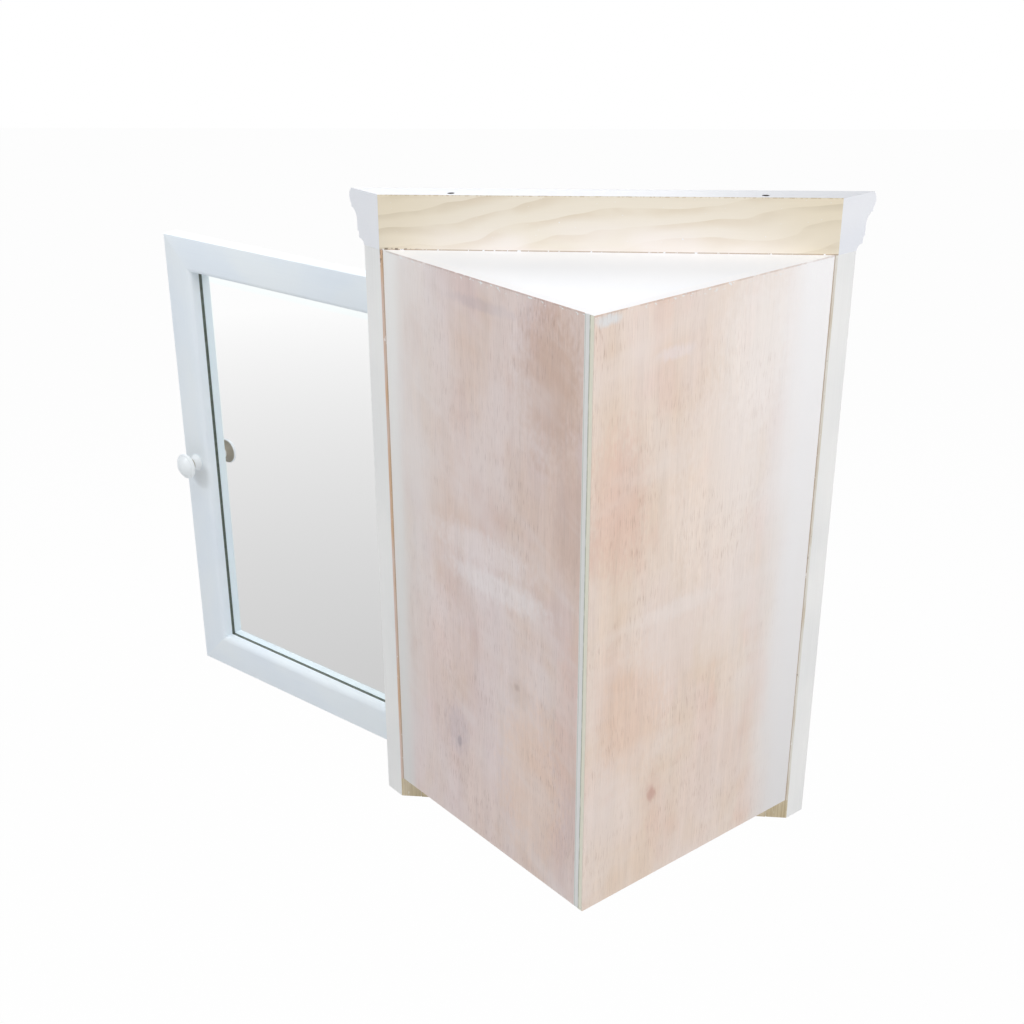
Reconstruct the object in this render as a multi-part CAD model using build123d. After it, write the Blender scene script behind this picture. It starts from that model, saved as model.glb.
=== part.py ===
from build123d import *
import os
from math import sqrt

# A corner medicine cabinet with a mirrored door, in millimetres.
# The two walls meet on the line x = y = 0. +Y points into that wall corner, the door looks towards -Y.
# +Z is up and z = 0 is the underside of the box. Right is +X, as seen from the front.
# The bevelled stiles touch the walls, and the plywood panels stand a little off them.

# Box: two plywood back panels that meet square in the wall corner, with boards let in between
BOX_HALF_WIDTH = 206.0
BOX_HEIGHT = 588.0
PANEL_THICKNESS = 12.0
BOARD_THICKNESS = 9.0

# Face frame, which stands in front of the box, laps past its sides and hangs below it
FRAME_THICKNESS = 18.0
FRAME_LIP = 3.0
FRAME_DROP = 23.0
STILE_REVEAL = 2.0
SILL_REVEAL = 1.0
TOP_RAIL_HEIGHT = 40.0
STILE_ARRIS = 0.6

# Cornice, a moulded rail on the frame: heights are above its underside, steps go outward in turn
CORNICE_HEIGHT = 51.0
LOW_COVE = 5.5
LOW_FILLET_TOP = 11.0
LOW_STEP = 1.5
HIGH_COVE_BOTTOM = 22.0
HIGH_COVE_TOP = 33.0
HIGH_COVE_DEPTH = 4.5
SHOULDER = 1.5
NOSE_BOTTOM = 36.0
NOSE_MIDDLE = 43.0
NOSE_SWELL = 2.0
NOSE_SETBACK = 0.5

# Screws and shelf pins repeat, so they are drawn with flat sides, and flat heads have a thin rim
SMALL_SIDES = 10
FLAT_HEAD_RIM = 0.2

# Screws that hold the cornice, sunk in deep holes
CORNICE_SCREW_SPACING = 284.0
COUNTERBORE_RADIUS = 3.5
COUNTERBORE_DEPTH = 20.0
CORNICE_SCREW_RADIUS = 2.0
CORNICE_SCREW_BITE = 26.0
CORNICE_HEAD_RADIUS = 3.4
CORNICE_HEAD_HEIGHT = 2.6

# Shelves, each on four paddle pins in rows of blind holes
SHELF_THICKNESS = 12.0
SHELF_CLEARANCE = 1.0
SHELF_SETBACK = 8.0
SHELF_CORNER_CUT = 14.0
SHELF_EDGE_ROUND = 3.0
LOWER_SHELF_HEIGHT = 190.0
UPPER_SHELF_HEIGHT = 375.0
PIN_RADIUS = 2.5
PIN_DEPTH = 8.0
PIN_ROW_FRONT = 40.0
PIN_ROW_BACK = 185.0
PIN_HOLE_PITCH = 32.0
PIN_HOLE_STEPS = (-1, 0, 1)
PADDLE_LENGTH = 12.0
PADDLE_WIDTH = 8.0
PADDLE_THICKNESS = 3.0
PADDLE_CORNER_CUT = 2.5

# Door, set in the face frame, with a mirror and its backing in a rebate
DOOR_THICKNESS = 19.0
DOOR_GAP = 1.5
MEMBER_WIDTH = 38.5
EDGE_ROUND = 5.5
DOOR_ARRIS = 0.8
REBATE_WIDTH = 8.0
MIRROR_THICKNESS = 3.0
MIRROR_CLEARANCE = 0.5
BACKING_THICKNESS = 3.0
OPEN_ANGLE = 146.5

# Knob in the middle of the free stile: heights are above the door's face
KNOB_RADIUS = 15.0
KNOB_RIM_ROUND = 2.2
KNOB_RIM_HEIGHT = 16.5
KNOB_BASE_RADIUS = 9.5
KNOB_BASE_THICKNESS = 1.5
KNOB_NECK_RADIUS = 7.0
KNOB_NECK_HEIGHT = 6.5
KNOB_HEIGHT = 25.0
KNOB_CUTS_PER_CURVE = 3
KNOB_SCREW_RADIUS = 2.0
KNOB_SCREW_BITE = 12.0
KNOB_SCREW_HEAD_RADIUS = 4.5
KNOB_SCREW_HEAD_HEIGHT = 2.2

# Butt hinges, let into the edges of the door and of the frame
HINGE_LENGTH = 50.0
HINGE_INSET = 80.0
LEAF_THICKNESS = 1.2
LEAF_DEPTH = 15.0
LEAF_CLEARANCE = 0.3
KNUCKLE_RADIUS = 2.8
KNUCKLE_COUNT = 3
KNUCKLE_CLEARANCE = 0.3
KNUCKLE_STANDOFF = 0.7
HINGE_PIN_RADIUS = 1.4
HINGE_PIN_CLEARANCE = 0.05
HINGE_PIN_HEAD_RADIUS = 2.3
HINGE_PIN_HEAD_HEIGHT = 1.0
HINGE_SCREW_RADIUS = 1.3
HINGE_SCREW_HEAD_RADIUS = 2.5
HINGE_SCREW_LENGTH = 14.0
HINGE_SCREW_SPACING = 32.0

# Clips that hold the mirror's backing
CLIP_LENGTH = 16.0
CLIP_WIDTH = 9.0
CLIP_THICKNESS = 0.8
CLIP_CORNER_CUT = 2.0
CLIP_LAP = 6.0
CLIP_FROM_DOOR_ENDS = 135.0
CLIP_SCREW_RADIUS = 1.2
CLIP_SCREW_BITE = 9.0
CLIP_HEAD_RADIUS = 2.4
CLIP_HEAD_HEIGHT = 1.0

# Magnetic catch on the bottom board, and its strike on the door
CATCH_LENGTH = 28.0
CATCH_DEPTH = 13.0
CATCH_WALL = 3.0
CATCH_ROUND = 2.0
CATCH_FROM_DOOR_EDGE = 56.0
CATCH_CLEARANCE = 0.3
EAR_LENGTH = 8.0
EAR_THICKNESS = 3.0
MAGNET_LENGTH = 20.0
MAGNET_HEIGHT = 8.0
MAGNET_DEPTH = 9.0
STRIKE_LENGTH = 30.0
STRIKE_HEIGHT = 10.0
STRIKE_THICKNESS = 1.2
STRIKE_EDGE = 1.5
STRIKE_SCREW_HEAD_RADIUS = 2.5
STRIKE_SCREW_LENGTH = 12.0
CATCH_SCREW_RADIUS = 1.3
CATCH_SCREW_BITE = 7.0
CATCH_HEAD_RADIUS = 2.4
CATCH_HEAD_HEIGHT = 1.2

# Planes and places that the pieces share
INNER_CORNER = PANEL_THICKNESS * sqrt(2)
INNER_HALF = BOX_HALF_WIDTH - INNER_CORNER
OUTER_APEX = (0, -FRAME_LIP)
MIDDLE_APEX = (INNER_CORNER / 2, -FRAME_LIP - INNER_CORNER / 2)
INNER_APEX = (0, -FRAME_LIP - INNER_CORNER)
BOX_FRONT = -FRAME_LIP - BOX_HALF_WIDTH
FRAME_FRONT = BOX_FRONT - FRAME_THICKNESS
FRAME_REAR_HALF = BOX_HALF_WIDTH + FRAME_LIP
FRAME_FRONT_HALF = FRAME_REAR_HALF + FRAME_THICKNESS
OPENING_HALF = INNER_HALF - STILE_REVEAL
OPENING_BOTTOM = BOARD_THICKNESS + SILL_REVEAL
OPENING_TOP = BOX_HEIGHT - TOP_RAIL_HEIGHT
CORNICE_TOP = BOX_HEIGHT + CORNICE_HEIGHT
DOOR_HALF = OPENING_HALF - DOOR_GAP
DOOR_BOTTOM = OPENING_BOTTOM + DOOR_GAP
DOOR_TOP = OPENING_TOP - DOOR_GAP
DOOR_MIDDLE = (DOOR_BOTTOM + DOOR_TOP) / 2
DOOR_BACK = FRAME_FRONT + DOOR_THICKNESS
REBATE_INSET = MEMBER_WIDTH - REBATE_WIDTH
MIRROR_BACK = DOOR_BACK - BACKING_THICKNESS
MIRROR_FRONT = MIRROR_BACK - MIRROR_THICKNESS
KNOB_X = MEMBER_WIDTH / 2 - DOOR_HALF
HINGE_X = OPENING_HALF - DOOR_GAP / 2
HINGE_Y = FRAME_FRONT - KNUCKLE_RADIUS - KNUCKLE_STANDOFF
HINGE_AXIS = Axis((HINGE_X, HINGE_Y, 0), (0, 0, 1))
HINGE_HEIGHTS = {"upper": DOOR_TOP - HINGE_INSET, "lower": DOOR_BOTTOM + HINGE_INSET}
SHELF_HEIGHTS = {"upper": UPPER_SHELF_HEIGHT, "lower": LOWER_SHELF_HEIGHT}
CATCH_X = CATCH_FROM_DOOR_EDGE - DOOR_HALF
CATCH_FRONT = DOOR_BACK + STRIKE_THICKNESS + CATCH_CLEARANCE
STRIKE_MIDDLE = DOOR_BOTTOM + STRIKE_EDGE + STRIKE_HEIGHT / 2
LEFT = -1
RIGHT = 1
BOTH_SIDES = (LEFT, RIGHT)


def block(x, y, z):
    """A box given by its low and high ends along each axis."""
    size = [high - low for low, high in (x, y, z)]
    middle = [(high + low) / 2 for low, high in (x, y, z)]
    return Pos(*middle) * Box(*size)


def span(middle, length):
    """The low and high ends of a length about its middle."""
    return (middle - length / 2, middle + length / 2)


def prism(points, bottom, height):
    """An upright prism over a plan outline."""
    outline = make_face(Polyline(*points, close=True))
    return extrude(Pos(0, 0, bottom) * outline, height)


def rod(radius, start, direction, length):
    """A round bar from a start point along a direction."""
    return extrude(Plane(origin=start, z_dir=direction) * Circle(radius), length)


def stick(radius, start, direction, length):
    """A small bar with flat sides from a start point along a direction."""
    return extrude(Plane(origin=start, z_dir=direction) * RegularPolygon(radius, SMALL_SIDES), length)


def pan_screw(seat, inward, length, radius, head_radius, head_height):
    """A screw whose head stands on its seat and whose shank runs inward."""
    outward = tuple(-part for part in inward)
    return stick(radius, seat, inward, length) + stick(head_radius, seat, outward, head_height)


def flat_screw(length, radius, head_radius, head_depth):
    """A countersunk screw along +Y from the origin, its head flush there."""
    inward = (0, 1, 0)
    head = stick(head_radius, (0, 0, 0), inward, head_depth)
    head = chamfer(head.faces().sort_by(Axis.Y)[-1].edges(), head_depth - FLAT_HEAD_RIM)
    return head + stick(radius, (0, head_depth, 0), inward, length - head_depth)


def cut(piece, tools):
    """A piece with several tools cut out of it."""
    for tool in tools:
        piece = piece - tool
    return piece


def group(pieces):
    """Separate solids as one node."""
    return Compound(children=list(pieces))


def pin_place(side, row, shelf_height):
    """Where a shelf pin enters a panel's inner face: local Z points out of the face and local Y up."""
    along = row / sqrt(2)
    spot = (side * (INNER_HALF - along), BOX_FRONT + along, shelf_height - PIN_RADIUS)
    return Plane(origin=spot, x_dir=(1, -side, 0), z_dir=(-side, -1, 0)).location


def pin_shank():
    """The part of a shelf pin that its hole holds."""
    return stick(PIN_RADIUS, (0, 0, 0), (0, 0, -1), PIN_DEPTH)


def shelf_pin():
    """A shelf pin: a shank and a flat paddle with cut corners, level with the shank's top."""
    paddle = block(span(0, PADDLE_WIDTH), (PIN_RADIUS - PADDLE_THICKNESS, PIN_RADIUS), (0, PADDLE_LENGTH))
    corners = paddle.edges().filter_by(Axis.Y).group_by(Axis.Z)[-1]
    return chamfer(corners, PADDLE_CORNER_CUT) + pin_shank()


def shelf_pins(shelf_height):
    """The four pins under one shelf, two in each back panel."""
    rows = (PIN_ROW_FRONT, PIN_ROW_BACK)
    return [pin_place(side, row, shelf_height) * shelf_pin() for side in BOTH_SIDES for row in rows]


def pin_holes(side):
    """The blind holes of one panel: three heights for each shelf in a front and a back row."""
    heights = [height + step * PIN_HOLE_PITCH for height in SHELF_HEIGHTS.values() for step in PIN_HOLE_STEPS]
    rows = (PIN_ROW_FRONT, PIN_ROW_BACK)
    return [pin_place(side, row, height) * pin_shank() for height in heights for row in rows]


def panel_left():
    """The plywood panel that runs to the wall corner, so that its layered edge shows there."""
    points = [OUTER_APEX, (-BOX_HALF_WIDTH, BOX_FRONT), (-INNER_HALF, BOX_FRONT), MIDDLE_APEX]
    return cut(prism(points, 0, BOX_HEIGHT), pin_holes(LEFT))


def panel_right():
    """The plywood panel that butts against the inner face of the other."""
    points = [MIDDLE_APEX, (BOX_HALF_WIDTH, BOX_FRONT), (INNER_HALF, BOX_FRONT), INNER_APEX]
    return cut(prism(points, 0, BOX_HEIGHT), pin_holes(RIGHT))


def corner_board(bottom):
    """A triangular board let in between the back panels."""
    points = [INNER_APEX, (-INNER_HALF, BOX_FRONT), (INNER_HALF, BOX_FRONT)]
    return prism(points, bottom, BOARD_THICKNESS)


def shelf(height):
    """A loose corner shelf with a rounded front edge and its back corner cut off."""
    front = BOX_FRONT + SHELF_SETBACK
    corner = INNER_APEX[1] - SHELF_CLEARANCE * sqrt(2)
    half = corner - front
    back = corner - SHELF_CORNER_CUT
    points = [(-half, front), (half, front), (SHELF_CORNER_CUT, back), (-SHELF_CORNER_CUT, back)]
    board = prism(points, height, SHELF_THICKNESS)
    return fillet(board.edges().filter_by(Axis.X).group_by(Axis.Y)[0], SHELF_EDGE_ROUND)


def stile(side):
    """A frame stile, its outer edge cut at 45 degrees to lie along the wall."""
    points = [(side * OPENING_HALF, BOX_FRONT), (side * FRAME_REAR_HALF, BOX_FRONT),
              (side * FRAME_FRONT_HALF, FRAME_FRONT), (side * OPENING_HALF, FRAME_FRONT)]
    post = prism(points, -FRAME_DROP, BOX_HEIGHT + FRAME_DROP)
    outer_edge = post.edges().filter_by(Axis.Z).sort_by(Axis((0, 0, 0), (side, 0, 0)))[-1]
    return fillet(outer_edge, STILE_ARRIS)


def rail(bottom, top):
    """A frame rail between the stiles."""
    return block((-OPENING_HALF, OPENING_HALF), (FRAME_FRONT, BOX_FRONT), (bottom, top))


def cove(start, depth, height):
    """A hollow curve that leaves its start upright and ends a depth and a height further on."""
    radius = (depth ** 2 + height ** 2) / (2 * depth)
    return RadiusArc(start, (start[0] + depth, start[1] + height), radius)


def cornice_section():
    """The moulding's section, from the rear face outward and from the underside up."""
    low = FRAME_THICKNESS + LOW_COVE
    middle = low + LOW_STEP
    high = middle + HIGH_COVE_DEPTH
    shoulder = high + SHOULDER
    nose_top = shoulder - NOSE_SETBACK
    outline = [
        Line((0, 0), (FRAME_THICKNESS, 0)),
        cove((FRAME_THICKNESS, 0), LOW_COVE, LOW_COVE),
        Line((low, LOW_COVE), (low, LOW_FILLET_TOP)),
        Line((low, LOW_FILLET_TOP), (middle, LOW_FILLET_TOP + LOW_STEP)),
        Line((middle, LOW_FILLET_TOP + LOW_STEP), (middle, HIGH_COVE_BOTTOM)),
        cove((middle, HIGH_COVE_BOTTOM), HIGH_COVE_DEPTH, HIGH_COVE_TOP - HIGH_COVE_BOTTOM),
        Line((high, HIGH_COVE_TOP), (shoulder, HIGH_COVE_TOP)),
        Line((shoulder, HIGH_COVE_TOP), (shoulder, NOSE_BOTTOM)),
        ThreePointArc((shoulder, NOSE_BOTTOM), (shoulder + NOSE_SWELL, NOSE_MIDDLE), (nose_top, CORNICE_HEIGHT)),
        Line((nose_top, CORNICE_HEIGHT), (0, CORNICE_HEIGHT)),
        Line((0, CORNICE_HEIGHT), (0, 0)),
    ]
    return make_face(outline)


def cornice_screw(side):
    """A screw down through the cornice into the top rail."""
    length = CORNICE_HEIGHT - COUNTERBORE_DEPTH + CORNICE_SCREW_BITE
    seat = (side * CORNICE_SCREW_SPACING / 2, BOX_FRONT - FRAME_THICKNESS / 2, CORNICE_TOP - COUNTERBORE_DEPTH)
    return pan_screw(seat, (0, 0, -1), length, CORNICE_SCREW_RADIUS, CORNICE_HEAD_RADIUS, CORNICE_HEAD_HEIGHT)


def counterbore(side):
    """The deep hole above a cornice screw's head."""
    mouth = (side * CORNICE_SCREW_SPACING / 2, BOX_FRONT - FRAME_THICKNESS / 2, CORNICE_TOP)
    return rod(COUNTERBORE_RADIUS, mouth, (0, 0, -1), COUNTERBORE_DEPTH)


def cornice():
    """The moulded cornice, its ends cut in the planes of the stiles' bevels."""
    section = cornice_section()
    depth = section.bounding_box().max.X
    reach = FRAME_REAR_HALF + depth
    rear_right = Plane(origin=(reach, BOX_FRONT, BOX_HEIGHT), x_dir=(0, -1, 0), z_dir=(-1, 0, 0))
    stock = extrude(rear_right * section, 2 * reach)
    plan = [(-FRAME_REAR_HALF, BOX_FRONT), (-reach, BOX_FRONT - depth),
            (reach, BOX_FRONT - depth), (FRAME_REAR_HALF, BOX_FRONT)]
    moulding = stock & prism(plan, BOX_HEIGHT, CORNICE_HEIGHT)
    return cut(moulding, [make(side) for side in BOTH_SIDES for make in (cornice_screw, counterbore)])


def knuckle_spans(middle, first, growth):
    """The heights of every second knuckle of a hinge, counted from the bottom, moved out by a growth."""
    pitch = HINGE_LENGTH / KNUCKLE_COUNT
    bottom = middle - HINGE_LENGTH / 2
    turns = range(first, KNUCKLE_COUNT, 2)
    return [(bottom + turn * pitch - growth, bottom + (turn + 1) * pitch + growth) for turn in turns]


def leaf_faces(side):
    """The two faces of a leaf's plate, on the frame's edge to the right of the pin or on the door's to its left."""
    return sorted((HINGE_X + side * LEAF_CLEARANCE / 2, HINGE_X + side * (LEAF_CLEARANCE / 2 + LEAF_THICKNESS)))


def leaf_blank(middle, side):
    """A hinge leaf's flat plate."""
    height = span(middle, HINGE_LENGTH - KNUCKLE_CLEARANCE)
    return block(leaf_faces(side), (HINGE_Y, FRAME_FRONT + LEAF_DEPTH), height)


def leaf_screws(middle, side):
    """The two countersunk screws of one leaf."""
    screw = flat_screw(HINGE_SCREW_LENGTH, HINGE_SCREW_RADIUS, HINGE_SCREW_HEAD_RADIUS, LEAF_THICKNESS)
    face = HINGE_X + side * LEAF_CLEARANCE / 2
    return [Pos(face, FRAME_FRONT + LEAF_DEPTH / 2, z) * Rot(0, 0, -90 * side) * screw
            for z in span(middle, HINGE_SCREW_SPACING)]


def hinge_leaf(middle, side):
    """A leaf with its own knuckles, clear of the other leaf's, bored for the pin and the screws."""
    own, other = (0, 1) if side == RIGHT else (1, 0)
    leaf = leaf_blank(middle, side)
    notch = (HINGE_Y, HINGE_Y + KNUCKLE_RADIUS + KNUCKLE_CLEARANCE)
    notches = [block(leaf_faces(side), notch, height) for height in knuckle_spans(middle, other, KNUCKLE_CLEARANCE / 2)]
    leaf = cut(leaf, notches)
    for low, high in knuckle_spans(middle, own, -KNUCKLE_CLEARANCE / 2):
        leaf += rod(KNUCKLE_RADIUS, (HINGE_X, HINGE_Y, low), (0, 0, 1), high - low)
    foot = (HINGE_X, HINGE_Y, middle - HINGE_LENGTH / 2)
    bore = rod(HINGE_PIN_RADIUS + HINGE_PIN_CLEARANCE, foot, (0, 0, 1), HINGE_LENGTH)
    return cut(leaf, [bore] + leaf_screws(middle, side))


def hinge_pin(middle):
    """A hinge pin that hangs by its button head on the top knuckle."""
    bottom, top = span(middle, HINGE_LENGTH - KNUCKLE_CLEARANCE)
    seat = (HINGE_X, HINGE_Y, top)
    head = rod(HINGE_PIN_HEAD_RADIUS, seat, (0, 0, 1), HINGE_PIN_HEAD_HEIGHT)
    return head + rod(HINGE_PIN_RADIUS, seat, (0, 0, -1), top - bottom)


def mortise_for_hinges(piece, side):
    """A stile of the frame or of the door with its leaves let in and their screw holes."""
    for middle in HINGE_HEIGHTS.values():
        piece = cut(piece, [leaf_blank(middle, side)] + leaf_screws(middle, side))
    return piece


def within_door(inset, front, back):
    """A block inside the closed door's outline by an inset, between two depths."""
    half = DOOR_HALF - inset
    return block((-half, half), (front, back), (DOOR_BOTTOM + inset, DOOR_TOP - inset))


def door_frame():
    """The four door members as one piece, with rounded edges and the rebate for the mirror."""
    frame = within_door(0, FRAME_FRONT, DOOR_BACK) - within_door(MEMBER_WIDTH, FRAME_FRONT, DOOR_BACK)
    face = frame.faces().sort_by(Axis.Y)[0]
    frame = fillet(face.inner_wires()[0].edges(), EDGE_ROUND)
    face = frame.faces().sort_by(Axis.Y)[0]
    frame = fillet(face.outer_wire().edges(), DOOR_ARRIS)
    return frame - within_door(REBATE_INSET, MIRROR_FRONT, DOOR_BACK)


def mitred_out(frame, corners):
    """The part of the door frame within an outline given in x and z."""
    outline = make_face(Polyline(*corners, close=True))
    face = Plane(origin=(0, FRAME_FRONT, 0), x_dir=(1, 0, 0), z_dir=(0, -1, 0)) * outline
    return frame & extrude(face, -DOOR_THICKNESS)


def door_members():
    """The two stiles and two rails of the door, mitred at its corners."""
    frame = door_frame()
    width = MEMBER_WIDTH
    low, high = DOOR_BOTTOM, DOOR_TOP
    members = {}
    for name, side in (("door_stile_free", LEFT), ("door_stile_hinge", RIGHT)):
        edge, inner = side * DOOR_HALF, side * (DOOR_HALF - width)
        members[name] = mitred_out(frame, [(edge, low), (inner, low + width), (inner, high - width), (edge, high)])
    for name, z, inner_z in (("door_rail_bottom", low, low + width), ("door_rail_top", high, high - width)):
        inner = DOOR_HALF - width
        members[name] = mitred_out(frame, [(-DOOR_HALF, z), (DOOR_HALF, z), (inner, inner_z), (-inner, inner_z)])
    return members


def mirror_sheet(front, back):
    """A sheet in the door's rebate between two depths."""
    return within_door(REBATE_INSET + MIRROR_CLEARANCE, front, back)


def knob_screw():
    """The screw through the free stile into the knob, its head on the door's back."""
    seat = (KNOB_X, DOOR_BACK, DOOR_MIDDLE)
    length = DOOR_THICKNESS + KNOB_SCREW_BITE
    return pan_screw(seat, (0, -1, 0), length, KNOB_SCREW_RADIUS, KNOB_SCREW_HEAD_RADIUS, KNOB_SCREW_HEAD_HEIGHT)


def in_cuts(curve):
    """A curve of a small turned piece as a chain of straight cuts, which keeps the piece light."""
    return Polyline(*[curve @ (cut_end / KNOB_CUTS_PER_CURVE) for cut_end in range(KNOB_CUTS_PER_CURVE + 1)])


def knob():
    """The turned knob: a foot, a waisted neck, a round rim and a domed top."""
    foot = (KNOB_BASE_RADIUS, KNOB_BASE_THICKNESS)
    rim_start = (KNOB_RADIUS - KNOB_RIM_ROUND, KNOB_RIM_HEIGHT - KNOB_RIM_ROUND)
    rim_end = (KNOB_RADIUS - KNOB_RIM_ROUND, KNOB_RIM_HEIGHT + KNOB_RIM_ROUND)
    dome_rise = KNOB_HEIGHT - rim_end[1]
    dome_radius = (rim_end[0] ** 2 + dome_rise ** 2) / (2 * dome_rise)
    outline = [
        Polyline((0, KNOB_HEIGHT), (0, 0), (KNOB_BASE_RADIUS, 0), foot),
        in_cuts(ThreePointArc(foot, (KNOB_NECK_RADIUS, KNOB_NECK_HEIGHT), rim_start)),
        in_cuts(ThreePointArc(rim_start, (KNOB_RADIUS, KNOB_RIM_HEIGHT), rim_end)),
        in_cuts(RadiusArc(rim_end, (0, KNOB_HEIGHT), -dome_radius)),
    ]
    turned = revolve(make_face(outline), Axis.Y)
    return Pos(KNOB_X, FRAME_FRONT, DOOR_MIDDLE) * Rot(180, 0, 0) * turned - knob_screw()


def at_clips(piece):
    """Copies of a piece at every clip: local X points over the mirror's backing, local Y off the door's back.

    Each side of the door has two clips and each end one.
    """
    side_x = DOOR_HALF - REBATE_INSET
    low, high = DOOR_BOTTOM + REBATE_INSET, DOOR_TOP - REBATE_INSET
    places = []
    for side, turn in ((LEFT, 0), (RIGHT, 180)):
        for z in (DOOR_BOTTOM + CLIP_FROM_DOOR_ENDS, DOOR_TOP - CLIP_FROM_DOOR_ENDS):
            places.append((side * side_x, z, turn))
    places += [(0, low, -90), (0, high, 90)]
    return [Pos(x, DOOR_BACK, z) * Rot(0, turn, 0) * piece for x, z, turn in places]


def clip_screw():
    """The screw of one clip, in the clip's own frame."""
    seat = ((CLIP_LAP - CLIP_LENGTH) / 2, CLIP_THICKNESS, 0)
    return pan_screw(seat, (0, -1, 0), CLIP_SCREW_BITE, CLIP_SCREW_RADIUS, CLIP_HEAD_RADIUS, CLIP_HEAD_HEIGHT)


def mirror_clip():
    """A clip in its own frame, with cut corners and its screw's hole."""
    plate = block((CLIP_LAP - CLIP_LENGTH, CLIP_LAP), (0, CLIP_THICKNESS), span(0, CLIP_WIDTH))
    return chamfer(plate.edges().filter_by(Axis.Y), CLIP_CORNER_CUT) - clip_screw()


def catch_magnet():
    """The magnet in the catch's face, level with the strike."""
    return block(span(CATCH_X, MAGNET_LENGTH), (CATCH_FRONT, CATCH_FRONT + MAGNET_DEPTH),
                 span(STRIKE_MIDDLE, MAGNET_HEIGHT))


def catch_screws():
    """The two screws through the catch's ears into the bottom board."""
    y = CATCH_FRONT + CATCH_DEPTH / 2
    top = BOARD_THICKNESS + EAR_THICKNESS
    length = EAR_THICKNESS + CATCH_SCREW_BITE
    return [pan_screw((x, y, top), (0, 0, -1), length, CATCH_SCREW_RADIUS, CATCH_HEAD_RADIUS, CATCH_HEAD_HEIGHT)
            for x in span(CATCH_X, CATCH_LENGTH + EAR_LENGTH)]


def catch_body():
    """The catch's housing round the magnet, with an ear on each side."""
    depth = (CATCH_FRONT, CATCH_FRONT + CATCH_DEPTH)
    top = STRIKE_MIDDLE + MAGNET_HEIGHT / 2 + CATCH_WALL
    housing = block(span(CATCH_X, CATCH_LENGTH), depth, (BOARD_THICKNESS, top))
    housing = fillet(housing.edges().filter_by(Axis.Y).group_by(Axis.Z)[-1], CATCH_ROUND)
    ears = block(span(CATCH_X, CATCH_LENGTH + 2 * EAR_LENGTH), depth, (BOARD_THICKNESS, BOARD_THICKNESS + EAR_THICKNESS))
    return cut(housing + ears, [catch_magnet()] + catch_screws())


def strike_screw():
    """The countersunk screw of the strike plate."""
    screw = flat_screw(STRIKE_SCREW_LENGTH, CATCH_SCREW_RADIUS, STRIKE_SCREW_HEAD_RADIUS, STRIKE_THICKNESS)
    return Pos(CATCH_X, DOOR_BACK + STRIKE_THICKNESS, STRIKE_MIDDLE) * Rot(180, 0, 0) * screw


def strike_plate():
    """The steel plate on the door's back that the magnet holds."""
    plate = block(span(CATCH_X, STRIKE_LENGTH), (DOOR_BACK, DOOR_BACK + STRIKE_THICKNESS),
                  span(STRIKE_MIDDLE, STRIKE_HEIGHT))
    return plate - strike_screw()


def box_nodes():
    """The plywood box with its boards and shelves."""
    nodes = {
        "panel_left": panel_left(),
        "panel_right": panel_right(),
        "top_board": corner_board(BOX_HEIGHT - BOARD_THICKNESS),
        "bottom_board": cut(corner_board(0), catch_screws()),
    }
    for name, height in SHELF_HEIGHTS.items():
        nodes["shelf_" + name] = shelf(height)
        nodes["shelf_pins_" + name] = group(shelf_pins(height))
    return nodes


def frame_nodes():
    """The face frame and the cornice that is screwed on its top."""
    screws = [cornice_screw(side) for side in BOTH_SIDES]
    return {
        "stile_left": stile(LEFT),
        "stile_right": mortise_for_hinges(stile(RIGHT), RIGHT),
        "rail_top": cut(rail(OPENING_TOP, BOX_HEIGHT), screws),
        "rail_bottom": rail(-FRAME_DROP, OPENING_BOTTOM),
        "cornice": cornice(),
        "cornice_screws": group(screws),
    }


def fixed_hardware_nodes():
    """The hinges' fixed halves and the catch."""
    screws = [screw for middle in HINGE_HEIGHTS.values() for screw in leaf_screws(middle, RIGHT)]
    nodes = {
        "hinge_screws_frame": group(screws),
        "catch_body": catch_body(),
        "catch_magnet": catch_magnet(),
        "catch_screws": group(catch_screws()),
    }
    for name, middle in HINGE_HEIGHTS.items():
        nodes["hinge_leaf_frame_" + name] = hinge_leaf(middle, RIGHT)
        nodes["hinge_pin_" + name] = hinge_pin(middle)
    return nodes


def door_wood_nodes():
    """The door's members with the holes and mortises that its hardware needs."""
    holes = at_clips(clip_screw()) + [strike_screw(), knob_screw()]
    nodes = {name: cut(member, holes) for name, member in door_members().items()}
    nodes["door_stile_hinge"] = mortise_for_hinges(nodes["door_stile_hinge"], LEFT)
    return nodes


def door_fitting_nodes():
    """What the door's members carry."""
    screws = [screw for middle in HINGE_HEIGHTS.values() for screw in leaf_screws(middle, LEFT)]
    nodes = {
        "mirror": mirror_sheet(MIRROR_FRONT, MIRROR_BACK),
        "mirror_backing": mirror_sheet(MIRROR_BACK, DOOR_BACK),
        "mirror_clips": group(at_clips(mirror_clip())),
        "mirror_clip_screws": group(at_clips(clip_screw())),
        "knob": knob(),
        "knob_screw": knob_screw(),
        "strike_plate": strike_plate(),
        "strike_screw": strike_screw(),
        "hinge_screws_door": group(screws),
    }
    for name, middle in HINGE_HEIGHTS.items():
        nodes["hinge_leaf_door_" + name] = hinge_leaf(middle, LEFT)
    return nodes


def swung_open(nodes):
    """The door's nodes, drawn closed, turned about the hinge axis to stand open."""
    return {name: piece.rotate(HINGE_AXIS, OPEN_ANGLE) for name, piece in nodes.items()}


def build():
    """Every node of the cabinet by name, the door standing open."""
    fixed = {**box_nodes(), **frame_nodes(), **fixed_hardware_nodes()}
    door = {**door_wood_nodes(), **door_fitting_nodes()}
    return {**fixed, **swung_open(door)}


os.makedirs("parts", exist_ok=True)
for node_name, node_shape in build().items():
    export_step(node_shape, "parts/" + node_name + ".step")
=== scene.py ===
"""Dresses the corner medicine cabinet: box, face frame, cornice, mirror door, fittings and studio."""

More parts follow.
